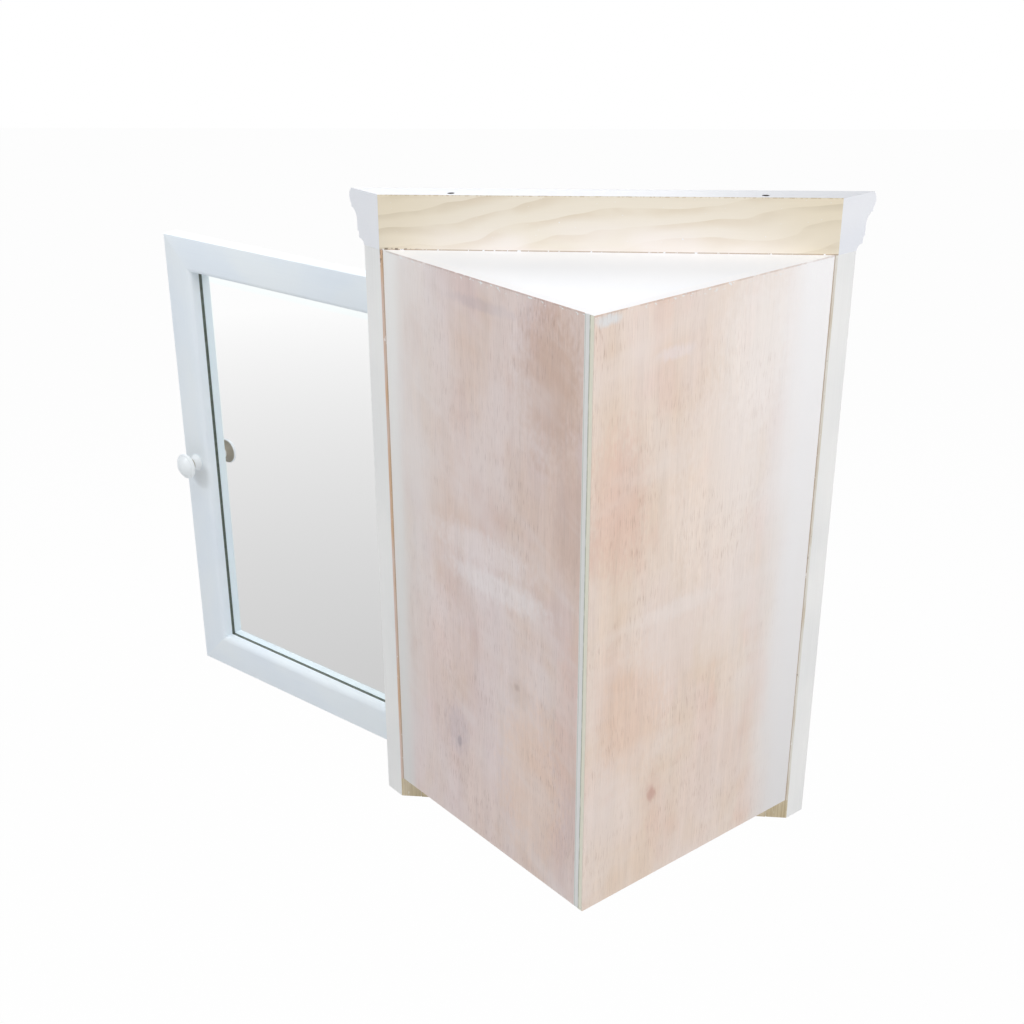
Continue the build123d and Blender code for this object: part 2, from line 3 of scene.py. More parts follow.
import logging
import math
from collections.abc import Mapping, Sequence
from dataclasses import dataclass
from enum import Enum

import bmesh
import bpy
import numpy as np
from mathutils import Matrix, Vector

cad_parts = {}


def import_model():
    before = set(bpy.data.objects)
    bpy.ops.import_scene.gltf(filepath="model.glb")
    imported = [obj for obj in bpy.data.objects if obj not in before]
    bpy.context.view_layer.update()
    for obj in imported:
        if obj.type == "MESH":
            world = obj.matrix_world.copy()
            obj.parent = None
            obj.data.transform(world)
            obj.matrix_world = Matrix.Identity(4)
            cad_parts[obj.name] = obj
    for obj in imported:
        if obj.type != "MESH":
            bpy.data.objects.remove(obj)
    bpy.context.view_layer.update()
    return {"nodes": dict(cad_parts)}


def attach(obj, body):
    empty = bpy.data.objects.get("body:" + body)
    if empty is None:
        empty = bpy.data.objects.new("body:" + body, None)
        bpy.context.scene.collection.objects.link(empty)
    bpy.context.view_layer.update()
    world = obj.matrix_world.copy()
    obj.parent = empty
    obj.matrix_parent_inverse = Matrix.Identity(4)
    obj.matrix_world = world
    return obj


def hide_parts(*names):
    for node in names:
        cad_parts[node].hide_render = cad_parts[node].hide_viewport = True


log = logging.getLogger("cabinet")

Colour = tuple[float, float, float]
Number = "Wire | float"
Socket = bpy.types.NodeSocket
Material = bpy.types.Material
Tint = Colour | Socket


def shade(red: int, green: int, blue: int) -> Colour:
    """A colour written as it shows on a screen, turned into light values.

    Each channel c of 0 to 1 becomes ((c + 0.055) / 1.055) to the power of 2.4, or c / 12.92 where it is dark.
    """
    channels = [value / 255 for value in (red, green, blue)]
    light = [c / 12.92 if c < 0.04045 else ((c + 0.055) / 1.055) ** 2.4 for c in channels]
    return (light[0], light[1], light[2])


class Side(Enum):
    """A side of the cabinet as seen from its front, with its sign along X."""

    LEFT = -1
    RIGHT = 1


class Head(Enum):
    """The shape of a screw's head."""

    PAN = "pan"
    FLAT = "flat"


# Nodes


class Wire:
    """A number that flows through a material's nodes. Its operators add Math nodes."""

    def __init__(self, recipe: "Recipe", socket: Socket) -> None:
        """Keeps the socket that carries the number."""
        self.recipe = recipe
        self.socket = socket

    def math(self, operation: str, *values: Number) -> "Wire":
        """The result of one Math node on the given values."""
        return self.recipe.wire("ShaderNodeMath", {"operation": operation}, dict(enumerate(values)))

    def __add__(self, other: Number) -> "Wire":
        """Sum."""
        return self.math("ADD", self, other)

    def __radd__(self, other: Number) -> "Wire":
        """Sum with a plain number first."""
        return self.math("ADD", other, self)

    def __sub__(self, other: Number) -> "Wire":
        """Difference."""
        return self.math("SUBTRACT", self, other)

    def __rsub__(self, other: Number) -> "Wire":
        """Difference with a plain number first."""
        return self.math("SUBTRACT", other, self)

    def __mul__(self, other: Number) -> "Wire":
        """Product."""
        return self.math("MULTIPLY", self, other)

    def __rmul__(self, other: Number) -> "Wire":
        """Product with a plain number first."""
        return self.math("MULTIPLY", other, self)

    def __truediv__(self, other: Number) -> "Wire":
        """Quotient."""
        return self.math("DIVIDE", self, other)

    def __rtruediv__(self, other: Number) -> "Wire":
        """Quotient with a plain number first."""
        return self.math("DIVIDE", other, self)

    def __pow__(self, other: Number) -> "Wire":
        """Power."""
        return self.math("POWER", self, other)

    def __rpow__(self, other: Number) -> "Wire":
        """Power with a plain number as the base."""
        return self.math("POWER", other, self)

    def __neg__(self) -> "Wire":
        """The number with its sign changed."""
        return self.math("MULTIPLY", self, -1.0)

    def __abs__(self) -> "Wire":
        """The number without its sign."""
        return self.math("ABSOLUTE", self)

    def line(self, low: Number, high: Number) -> "Wire":
        """A straight ramp: 0 up to low, 1 from high on."""
        return self.recipe.wire("ShaderNodeMapRange", {}, {"Value": self, "From Min": low, "From Max": high})

    def ramp(self, low: float, high: float) -> "Wire":
        """A smooth step: 0 up to low, 1 from high on, or the other way round where low is above high."""
        if low > high:
            return 1.0 - self.ramp(high, low)
        sockets = {"Value": self, "From Min": low, "From Max": high}
        return self.recipe.wire("ShaderNodeMapRange", {"interpolation_type": "SMOOTHSTEP"}, sockets)


class Recipe:
    """A material's node tree while it is written."""

    def __init__(self, name: str) -> None:
        """Starts a material with one Principled shader."""
        self.material = bpy.data.materials.new(name)
        self.material.use_nodes = True
        self.tree = self.material.node_tree
        self.tree.nodes.clear()
        self.shader = self.node("ShaderNodeBsdfPrincipled")
        self.output = self.node("ShaderNodeOutputMaterial", {}, {"Surface": self.shader.outputs[0]})

    def node(self, kind: str, settings: Mapping | None = None,
             sockets: Mapping | None = None) -> bpy.types.Node:
        """One node of any kind.

        Args:
            kind: the node's type.
            settings: its properties, set before its sockets.
            sockets: a number, a colour, a Wire or a socket for each named or numbered input.
        Returns:
            The node.
        """
        node = self.tree.nodes.new(kind)
        for key, value in (settings or {}).items():
            setattr(node, key, value)
        for key, value in (sockets or {}).items():
            self.feed(node.inputs[key], value)
        return node

    def feed(self, target: Socket, value: object) -> None:
        """Links a Wire or a socket to an input, or sets the input to a plain value."""
        if isinstance(value, Wire):
            value = value.socket
        if isinstance(value, Socket):
            self.tree.links.new(value, target)
        elif isinstance(value, tuple) and target.type == "RGBA":
            target.default_value = (*value, 1.0)
        else:
            target.default_value = value

    def wire(self, kind: str, settings: Mapping, sockets: Mapping, output: int | str = 0) -> Wire:
        """One node's output as a Wire."""
        return Wire(self, self.node(kind, settings, sockets).outputs[output])

    def split(self, vector: Socket) -> tuple[Wire, Wire, Wire]:
        """The three parts of a vector."""
        parts = self.node("ShaderNodeSeparateXYZ", {}, {0: vector}).outputs
        return Wire(self, parts[0]), Wire(self, parts[1]), Wire(self, parts[2])

    def vector(self, x: Number, y: Number, z: Number) -> Socket:
        """A vector from three numbers."""
        return self.node("ShaderNodeCombineXYZ", {}, {0: x, 1: y, 2: z}).outputs[0]

    def place(self) -> tuple[Wire, Wire, Wire]:
        """Where a point lies in the cabinet's frame, in metres."""
        return self.split(self.node("ShaderNodeTexCoord").outputs["Object"])

    def stock(self) -> tuple[Wire, Wire, Wire]:
        """Where a point lies in its own piece of stock: along it, across it and through it, in metres."""
        return self.split(self.node("ShaderNodeAttribute", {"attribute_name": "stock"}).outputs["Vector"])

    def noise(self, x: Number, y: Number, z: Number, detail: float = 2.0, roughness: float = 0.5) -> Wire:
        """Soft noise of 0 to 1 about 0.5, on parts that are already scaled."""
        sockets = {"Vector": self.vector(x, y, z), "Scale": 1.0, "Detail": detail, "Roughness": roughness}
        return self.wire("ShaderNodeTexNoise", {}, sockets)

    def blend(self, factor: Number, first: Tint, second: Tint) -> Socket:
        """A colour that goes from the first to the second as the factor goes from 0 to 1."""
        return self.node("ShaderNodeMix", {"data_type": "RGBA"}, {0: factor, 6: first, 7: second}).outputs[2]

    def layered(self, colour: Tint, *layers: tuple[Number, Tint]) -> Socket:
        """The colour under layers, each given as how far it covers what lies below and its own colour."""
        for cover, layer in layers:
            colour = self.blend(cover, colour, layer)
        return colour

    def level(self, factor: Number, first: Number, second: Number) -> Wire:
        """A number that goes from the first to the second as the factor goes from 0 to 1."""
        return self.wire("ShaderNodeMix", {"data_type": "FLOAT"}, {0: factor, 2: first, 3: second})

    def dimmed(self, colour: Tint, amount: Number) -> Socket:
        """A colour scaled by a number."""
        return self.node("ShaderNodeVectorMath", {"operation": "SCALE"}, {0: colour, 3: amount}).outputs[0]

    def relief(self, height: Number, depth: float, strength: float = 1.0) -> None:
        """Feeds a height of 0 to 1 into the surface's normal as a relief of the given depth in metres."""
        bump = self.node("ShaderNodeBump", {}, {"Strength": strength, "Distance": depth, "Height": height})
        self.feed(self.shader.inputs["Normal"], bump.outputs[0])

    def finish(self, colour: Tint, roughness: Number, metallic: float = 0.0, **constants: float) -> Material:
        """Feeds the shader and returns the material.

        Args:
            colour: the base colour.
            roughness: the roughness.
            metallic: how far the surface is a metal.
            constants: other inputs of the shader by name, with underscores for blanks.
        Returns:
            The material.
        """
        self.feed(self.shader.inputs["Base Color"], colour)
        self.feed(self.shader.inputs["Roughness"], roughness)
        self.shader.inputs["Metallic"].default_value = metallic
        for key, value in constants.items():
            self.shader.inputs[key.replace("_", " ")].default_value = value
        return self.material


# Meshes


def grid_faces(rows: int, columns: int, wrap_columns: bool = False, wrap_rows: bool = False) -> np.ndarray:
    """The quads of a grid of points that are numbered row by row.

    Cell (i, j) joins points (i, j), (i, j + 1), (i + 1, j + 1) and (i + 1, j). Indices wrap where asked.
    """
    i = np.arange(rows if wrap_rows else rows - 1)[:, None]
    j = np.arange(columns if wrap_columns else columns - 1)[None, :]
    next_i, next_j = (i + 1) % rows, (j + 1) % columns
    quad = (i * columns + j, i * columns + next_j, next_i * columns + next_j, next_i * columns + j)
    return np.stack([np.broadcast_to(corner, (i.size, j.size)) for corner in quad], axis=-1).reshape(-1, 4)


def arc(start: Sequence[float], through: Sequence[float], end: Sequence[float], steps: int) -> np.ndarray:
    """Points on the circle through three points of a plane, from the first to the last.

    Two linear equations put the centre as far from the first point as from each of the others.
    """
    a, b, c = (np.asarray(p, float) for p in (start, through, end))
    centre = np.linalg.solve(2 * np.array([b - a, c - a]), np.array([b @ b - a @ a, c @ c - a @ a]))
    radius = np.linalg.norm(a - centre)
    angles = np.unwrap([math.atan2(*(p - centre)[::-1]) for p in (a, b, c)])
    turn = np.linspace(angles[0], angles[2], steps)
    return centre + radius * np.column_stack([np.cos(turn), np.sin(turn)])


@dataclass
class Shape:
    """A mesh as plain arrays: points, faces, and each point's place in its own piece of stock."""

    points: np.ndarray
    faces: list[list[int]]
    stock: np.ndarray | None = None

    def joined(self, other: "Shape") -> "Shape":
        """This shape and another as one."""
        shift = len(self.points)
        faces = self.faces + [[corner + shift for corner in face] for face in other.faces]
        stock = None
        if self.stock is not None and other.stock is not None:
            stock = np.vstack([self.stock, other.stock])
        return Shape(np.vstack([self.points, other.points]), faces, stock)

    def moved(self, matrix: np.ndarray, shift: Sequence[float]) -> "Shape":
        """The shape turned by a 3 x 3 matrix and then shifted, with its stock unchanged."""
        return Shape(self.points @ np.asarray(matrix).T + np.asarray(shift), self.faces, self.stock)


def swept(profile: np.ndarray, ends: Sequence[np.ndarray]) -> Shape:
    """A closed profile carried between end outlines, with both ends closed.

    Row k of the grid is the k-th outline, and the faces between rows wrap round the profile.
    """
    rows = np.stack(ends)
    count = len(profile)
    faces = grid_faces(len(ends), count, wrap_columns=True).tolist()
    caps = [list(range(count)), list(range((len(ends) - 1) * count, len(ends) * count))]
    return Shape(rows.reshape(-1, 3), faces + caps)


def lathed(profile: np.ndarray, segments: int) -> Shape:
    """A profile turned about the Z axis: its point (r, h) goes round as (r cos t, r sin t, h)."""
    turn = np.linspace(0, 2 * math.pi, segments, endpoint=False)
    radius, height = profile[:, :1], profile[:, 1:]
    points = np.stack([radius * np.cos(turn), radius * np.sin(turn), height + 0 * turn], axis=-1)
    return Shape(points.reshape(-1, 3), grid_faces(len(profile), segments, wrap_columns=True).tolist())


def prism(outline: Sequence[Sequence[float]], bottom: float, top: float) -> Shape:
    """An upright prism over a plan outline, its stock lying along Z."""
    plan = np.asarray(outline, float)
    ends = [np.column_stack([plan, np.full(len(plan), level)]) for level in (bottom, top)]
    shape = swept(plan, ends)
    shape.stock = shape.points[:, [2, 0, 1]]
    return shape


def boxed(low: Sequence[float], high: Sequence[float], along: int) -> Shape:
    """A box between two corners, its stock lying along one axis."""
    (x0, y0, z0), (x1, y1, z1) = low, high
    shape = prism([(x0, y0), (x1, y0), (x1, y1), (x0, y1)], z0, z1)
    shape.stock = np.roll(shape.points, -along, axis=1)
    return shape


def closed_mesh(name: str, shape: Shape) -> bpy.types.Mesh:
    """A shape as a mesh with its seams and poles merged and its faces turned outwards."""
    mesh = bpy.data.meshes.new(name)
    mesh.from_pydata(shape.points.tolist(), [], shape.faces)
    if shape.stock is not None:
        attribute = mesh.attributes.new("stock", "FLOAT_VECTOR", "POINT")
        attribute.data.foreach_set("vector", shape.stock.astype(np.float32).ravel())
    tidy = bmesh.new()
    tidy.from_mesh(mesh)
    bmesh.ops.remove_doubles(tidy, verts=tidy.verts, dist=1e-6)
    bmesh.ops.recalc_face_normals(tidy, faces=tidy.faces)
    tidy.to_mesh(mesh)
    tidy.free()
    return mesh


def make_piece(name: str, shape: Shape, material: Material, body: str,
               stands_for: Sequence[str] = (), arris: float = 0.0, smooth: float = 32.0) -> bpy.types.Object:
    """Puts a shape into the scene as a piece of the cabinet.

    Args:
        name: the piece's name.
        shape: its mesh in the cabinet's frame.
        material: its finish.
        body: the body that it moves with.
        stands_for: the CAD nodes that it replaces.
        arris: the width to which sharp edges are eased, or 0.
        smooth: edges that turn by less than this many degrees are shaded smooth.
    Returns:
        The object.
    """
    mesh = closed_mesh(name, shape)
    mesh.polygons.foreach_set("use_smooth", [True] * len(mesh.polygons))
    mesh.set_sharp_from_angle(angle=math.radians(smooth))
    mesh.materials.append(material)
    piece = bpy.data.objects.new(name, mesh)
    bpy.context.scene.collection.objects.link(piece)
    if arris:
        ease(piece, arris)
    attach(piece, body)
    if stands_for:
        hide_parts(*stands_for)
    log.info("%s: %d faces on %s", name, len(mesh.polygons), body)
    return piece


def ease(piece: bpy.types.Object, width: float, segments: int = 2) -> None:
    """Eases a piece's sharp edges with a Bevel modifier."""
    bevel = piece.modifiers.new("arris", "BEVEL")
    bevel.width = width
    bevel.segments = segments
    bevel.limit_method = "ANGLE"
    bevel.angle_limit = math.radians(40)
    bevel.harden_normals = True


def bore(piece: bpy.types.Object, cutters: Sequence[Shape]) -> None:
    """Cuts shapes out of a piece for good, each with a Boolean modifier that is applied and removed."""
    for cutter in cutters:
        tool = bpy.data.objects.new("cutter", closed_mesh("cutter", cutter))
        bpy.context.scene.collection.objects.link(tool)
        cut = piece.modifiers.new("bore", "BOOLEAN")
        cut.object = tool
        cut.solver = "EXACT"
        bpy.context.view_layer.update()
        evaluated = piece.evaluated_get(bpy.context.evaluated_depsgraph_get())
        result = bpy.data.meshes.new_from_object(evaluated)
        piece.modifiers.remove(cut)
        piece.data = result
        bpy.data.objects.remove(tool)


def dress(node: bpy.types.Object, material: Material, arris: float = 0.0) -> None:
    """Gives a CAD node its finish and, where asked, welds and eases its edges with modifiers."""
    node.data.materials.clear()
    node.data.materials.append(material)
    if arris:
        weld = node.modifiers.new("weld", "WELD")
        weld.merge_threshold = 1e-6
        ease(node, arris)
    log.info("%s: CAD node in %s", node.name, material.name)


# Sizes


@dataclass(frozen=True)
class Plan:
    """The cabinet's shared sizes in metres. The walls meet on x = y = 0, and the door looks towards -Y."""

    half_width: float = 0.206
    height: float = 0.588
    panel: float = 0.012
    board: float = 0.009
    frame: float = 0.018
    lip: float = 0.003
    drop: float = 0.023
    stile_reveal: float = 0.002
    sill_reveal: float = 0.001
    top_rail: float = 0.040
    door_gap: float = 0.0015
    door_thickness: float = 0.019
    member: float = 0.0385
    cornice: float = 0.051
    cornice_hole: float = 0.142
    cornice_bore: float = 0.020
    knuckle: float = 0.0028
    standoff: float = 0.0007
    open_angle: float = math.radians(146.5)

    @property
    def inner_half(self) -> float:
        """Half the width inside the box at its front."""
        return self.half_width - self.panel * math.sqrt(2)

    @property
    def opening_half(self) -> float:
        """Half the width of the frame's opening."""
        return self.inner_half - self.stile_reveal

    @property
    def opening_bottom(self) -> float:
        """Height of the bottom rail's top."""
        return self.board + self.sill_reveal

    @property
    def opening_top(self) -> float:
        """Height of the top rail's underside."""
        return self.height - self.top_rail

    @property
    def box_front(self) -> float:
        """Y of the frame's rear face."""
        return -self.lip - self.half_width

    @property
    def frame_front(self) -> float:
        """Y of the frame's front face."""
        return self.box_front - self.frame

    @property
    def rear_half(self) -> float:
        """Half the frame's width at its rear."""
        return self.half_width + self.lip

    @property
    def cornice_top(self) -> float:
        """Height of the cornice's top."""
        return self.height + self.cornice

    @property
    def door_half(self) -> float:
        """Half the door's width."""
        return self.opening_half - self.door_gap

    @property
    def door_bottom(self) -> float:
        """Height of the door's underside."""
        return self.opening_bottom + self.door_gap

    @property
    def door_top(self) -> float:
        """Height of the door's top."""
        return self.opening_top - self.door_gap

    @property
    def door_middle(self) -> float:
        """Height of the door's middle."""
        return (self.door_bottom + self.door_top) / 2

    @property
    def door_back(self) -> float:
        """Y of the closed door's back."""
        return self.frame_front + self.door_thickness

    @property
    def hinge(self) -> np.ndarray:
        """The hinge axis's foot."""
        y = self.frame_front - self.knuckle - self.standoff
        return np.array([self.opening_half - self.door_gap / 2, y, 0])

    def swung(self, shape: Shape) -> Shape:
        """A shape of the closed door turned open about the hinge: p becomes hinge + R (p - hinge)."""
        c, s = math.cos(self.open_angle), math.sin(self.open_angle)
        turn = np.array([[c, -s, 0], [s, c, 0], [0, 0, 1]])
        return shape.moved(turn, self.hinge - turn @ self.hinge)


# Finishes


@dataclass(frozen=True)
class Mark:
    """A knot or stain: its place from the wall corner and the box's underside, and its half sizes."""

    along: float
    height: float
    half_along: float
    half_height: float
    colour: Colour
    strength: float


@dataclass(frozen=True)
class Plywood:
    """Raw reddish plywood: grained veneer outside, layers at the edges, white paint inside and on top."""

    side: Side
    plan: Plan
    veneer: Colour
    tan: Colour
    bleached: Colour
    pore: Colour
    rosy: Colour
    mauve: Colour
    smear_run: float
    smear_rise: float
    overspray_start: float
    overspray_full: float
    overspray_lean: float
    seed: float
    marks: tuple[Mark, ...] = ()
    white: Colour = shade(244, 245, 246)
    top_white: Colour = shade(251, 251, 253)
    dust: Colour = shade(240, 240, 239)
    light_ply: Colour = shade(241, 239, 223)
    grey_ply: Colour = shade(236, 237, 236)
    glue: Colour = shade(176, 178, 162)

    def make(self) -> Material:
        """Builds the material.

        s is the distance from the wall corner along the panel, and d the depth from its outer face, which is
        0 to -12 mm. As the walls stand at 45 degrees, s = (side x - y - lip) / sqrt 2 and
        d = (side x + y + lip) / sqrt 2.
        """
        recipe = Recipe(f"plywood_{self.side.name.lower()}")
        x, y, z = recipe.place()
        height = self.plan.height
        s = (self.side.value * x - y - self.plan.lip) / math.sqrt(2)
        d = (self.side.value * x + y + self.plan.lip) / math.sqrt(2)
        outside = d.ramp(-0.0006, -0.0003)
        inside = d.ramp(-0.0113, -0.0117)
        top = z.line(height - 0.0004, height - 0.0001)
        face, grain = self.face(recipe, s, z)
        speck = recipe.noise(s * 900, z * 900, d * 900, 3)
        paint = recipe.blend(speck.ramp(0.3, 0.8), self.white, recipe.dimmed(self.white, 0.93))
        nick = recipe.noise(s * 200, d * 600, self.seed, 3).ramp(0.66, 0.70)
        on_top = recipe.blend(nick * 0.5, recipe.dimmed(self.top_white, 0.99 + speck * 0.01), self.light_ply)
        colour = recipe.layered(self.edge(recipe, s, d, z), (inside, paint), (top, on_top), (outside, face))
        rough = recipe.level(outside, recipe.level(inside, 0.7, 0.42), 0.62)
        recipe.relief(grain * outside + speck * 0.3, 0.00025, 0.5)
        return recipe.finish(colour, rough, 0.0, Specular_IOR_Level=0.3)

    def face(self, recipe: Recipe, s: Wire, z: Wire) -> tuple[Socket, Wire]:
        """The veneer's colour and its grain's height."""
        seed = self.seed
        warp = recipe.noise(s * 7, z * 3.5, seed, 2) - 0.5
        across = s + warp * 0.018
        zones = recipe.noise(across * 19, z * 4.5, seed + 3, 3).ramp(0.40, 0.62)
        bands = recipe.noise(across * 85, z * 6, seed + 5, 3)
        fibre = recipe.noise(across * 1050, z * 24, seed + 9, 3, 0.62)
        streaks = recipe.noise(across * 420, z * 12, seed + 10, 2, 0.5)
        pores = recipe.noise(across * 1300, z * 62, seed + 12, 2, 0.55).ramp(0.56, 0.68)
        patchy = recipe.noise(s * 13, z * 10, seed + 15, 3).ramp(0.40, 0.62)
        drag = s * self.smear_run + z * self.smear_rise
        cross = z * self.smear_run - s * self.smear_rise
        smears = recipe.noise(drag * 7, cross * 26, seed + 21, 4, 0.55).ramp(0.50, 0.78)
        cloud = recipe.noise(drag * 7, cross * 10, seed + 27, 4, 0.55).ramp(0.42, 0.66)
        flush = recipe.noise(s * 20, z * 9, seed + 35, 3, 0.55).ramp(0.50, 0.70)
        blush = recipe.noise(s * 11, z * 6, seed + 51, 3).ramp(0.45, 0.62)
        colour = recipe.layered(self.veneer, (zones * 0.75, self.tan), (flush * 0.55, self.rosy),
                                (blush * 0.40, self.mauve))
        for mark in self.marks:
            colour = self.marked(recipe, colour, mark, s, z)
        colour = recipe.dimmed(colour, 0.89 + bands * 0.22)
        colour = recipe.dimmed(colour, 0.865 + fibre * 0.21 + streaks * 0.12)
        colour = recipe.layered(colour, (pores * (0.12 + patchy * 0.34), self.pore),
                                (smears * (0.18 + fibre * 0.32), self.bleached),
                                (cloud * 0.40, self.bleached))
        return self.overspray(recipe, colour, s, z), fibre * 0.6 + pores * -0.5 + 0.5

    def marked(self, recipe: Recipe, colour: Tint, mark: Mark, s: Wire, z: Wire) -> Socket:
        """The colour with a mark: it fades with the distance from the mark's middle, wobbled by noise."""
        wobble = recipe.noise(s * 240, z * 120, mark.along * 90, 3) * 0.9
        u = (s - mark.along) / mark.half_along
        v = (z - mark.height) / mark.half_height
        distance = (u * u + v * v) ** 0.5 + wobble - 0.45
        return recipe.blend(distance.ramp(1.15, 0.35) * mark.strength, colour, mark.colour)

    def overspray(self, recipe: Recipe, colour: Tint, s: Wire, z: Wire) -> Socket:
        """The colour under white paint that drifted from the frame and from the top edge."""
        start, full, height = self.overspray_start, self.overspray_full, self.plan.height
        drift = recipe.noise(s * 30, z * 6, self.seed + 31, 3) * 0.016 - 0.008
        reach = s + drift + (z - 0.3) * self.overspray_lean
        haze = reach.line(start - 0.1 * (z / height), full)
        fine = recipe.noise(s * 1600, z * 500, self.seed + 33, 2).ramp(0.15, 0.75)
        dust = recipe.dimmed(self.dust, 0.885 + z * 0.36)
        chips = recipe.noise(s * 170, z * 330, self.seed + 37, 3, 0.6).ramp(0.59, 0.63)
        line = z.ramp(height - 0.0018, height - 0.0010)
        broken = recipe.noise(s * 60, 0.0, self.seed, 2).ramp(0.35, 0.55)
        return recipe.layered(colour, (haze * 0.62, dust),
                              (reach.ramp(start, full) * (0.66 + fine * 0.26), dust),
                              (chips * z.ramp(height - 0.0075, height - 0.0012), self.white),
                              (line * broken * 0.30, self.pore))

    def edge(self, recipe: Recipe, s: Wire, d: Wire, z: Wire) -> Socket:
        """The layered edge: face veneer, light ply, glue line, darker cross ply, glue line, light ply."""
        wave = recipe.noise(s * 12, z * 12, self.seed + 41, 2) * 0.0009 - 0.00045
        depth = -d + wave
        fibre = recipe.noise(s * 500, z * 90, d * 1600, 3, 0.6)
        outer = recipe.dimmed(self.light_ply, 0.86 + fibre * 0.22)
        inner = recipe.dimmed(self.grey_ply, 0.90 + fibre * 0.18)
        seam = depth.ramp(0.0047, 0.0051) * depth.ramp(0.0066, 0.0059)
        seam_noise = recipe.noise(s * 140, z * 60, self.seed + 43, 3).ramp(0.28, 0.55)
        nicks = recipe.noise(s * 300, z * 160, d * 900, 3, 0.6).ramp(0.64, 0.70)
        return recipe.layered(outer, (depth.ramp(0.0052, 0.0058), inner),
                              (seam * (0.25 + seam_noise * 0.5), self.glue),
                              (depth.ramp(0.0014, 0.0009) * 0.45, self.veneer),
                              (depth.ramp(0.0104, 0.0109) * 0.5, self.glue), (nicks * 0.55, self.white))


@dataclass(frozen=True)
class Paint:
    """White satin paint over wood, with faint brush lines along the stock."""

    name: str
    white: Colour
    cool: Colour
    roughness: float = 0.36
    brush: float = 1.0
    shade_under_cap: bool = False
    # The beige painted as shade under a knob's cap and on the flare of its neck.
    bare: Colour = shade(160, 150, 132)

    def coat(self, recipe: Recipe, along: Wire, across: Wire, through: Wire) -> tuple[Socket, Wire]:
        """The paint's colour and the height of its brush lines."""
        lines = recipe.noise(along * 14, across * 620, through * 620, 3, 0.6)
        cloud = recipe.noise(along * 9, across * 14, through * 14, 2)
        peel = recipe.noise(along * 700, across * 700, through * 700, 2)
        colour = recipe.blend(cloud.ramp(0.3, 0.7), self.white, self.cool)
        colour = recipe.dimmed(colour, 1.0 - 0.025 * self.brush + lines * 0.05 * self.brush)
        return colour, lines * 0.7 * self.brush + peel * 0.3

    def make(self) -> Material:
        """Builds the material on the piece's stock coordinates. Under a knob's cap a darker beige may be
        painted as shade.
        """
        recipe = Recipe(self.name)
        along, across, through = recipe.stock()
        colour, height = self.coat(recipe, along, across, through)
        if self.shade_under_cap:
            # Painted shade: the cap's underside and the neck's flare below it are coloured a darker beige.
            reach = (across * across + through * through) ** 0.5
            under = along.ramp(0.0055, 0.0070) * along.ramp(0.0152, 0.0144) * reach.ramp(0.0069, 0.0074)
            colour = recipe.blend(under * 0.95, colour, recipe.dimmed(self.bare, 0.9 + height * 0.2))
        recipe.relief(height, 0.00012, 0.35)
        return recipe.finish(colour, self.roughness + height * 0.12, 0.0, Specular_IOR_Level=0.45)


@dataclass(frozen=True)
class BoardPaint:
    """White paint on boards and shelves that lie flat, rolled on."""

    name: str
    white: Colour
    cool: Colour

    def make(self) -> Material:
        """Builds the material on the cabinet's own coordinates."""
        recipe = Recipe(self.name)
        x, y, z = recipe.place()
        stipple = recipe.noise(x * 650, y * 650, z * 650, 3, 0.6)
        cloud = recipe.noise(x * 8, y * 8, z * 8, 2)
        colour = recipe.blend(cloud.ramp(0.3, 0.7), self.white, self.cool)
        recipe.relief(stipple, 0.0001, 0.35)
        return recipe.finish(colour, 0.36 + stipple * 0.16, 0.0, Specular_IOR_Level=0.45)


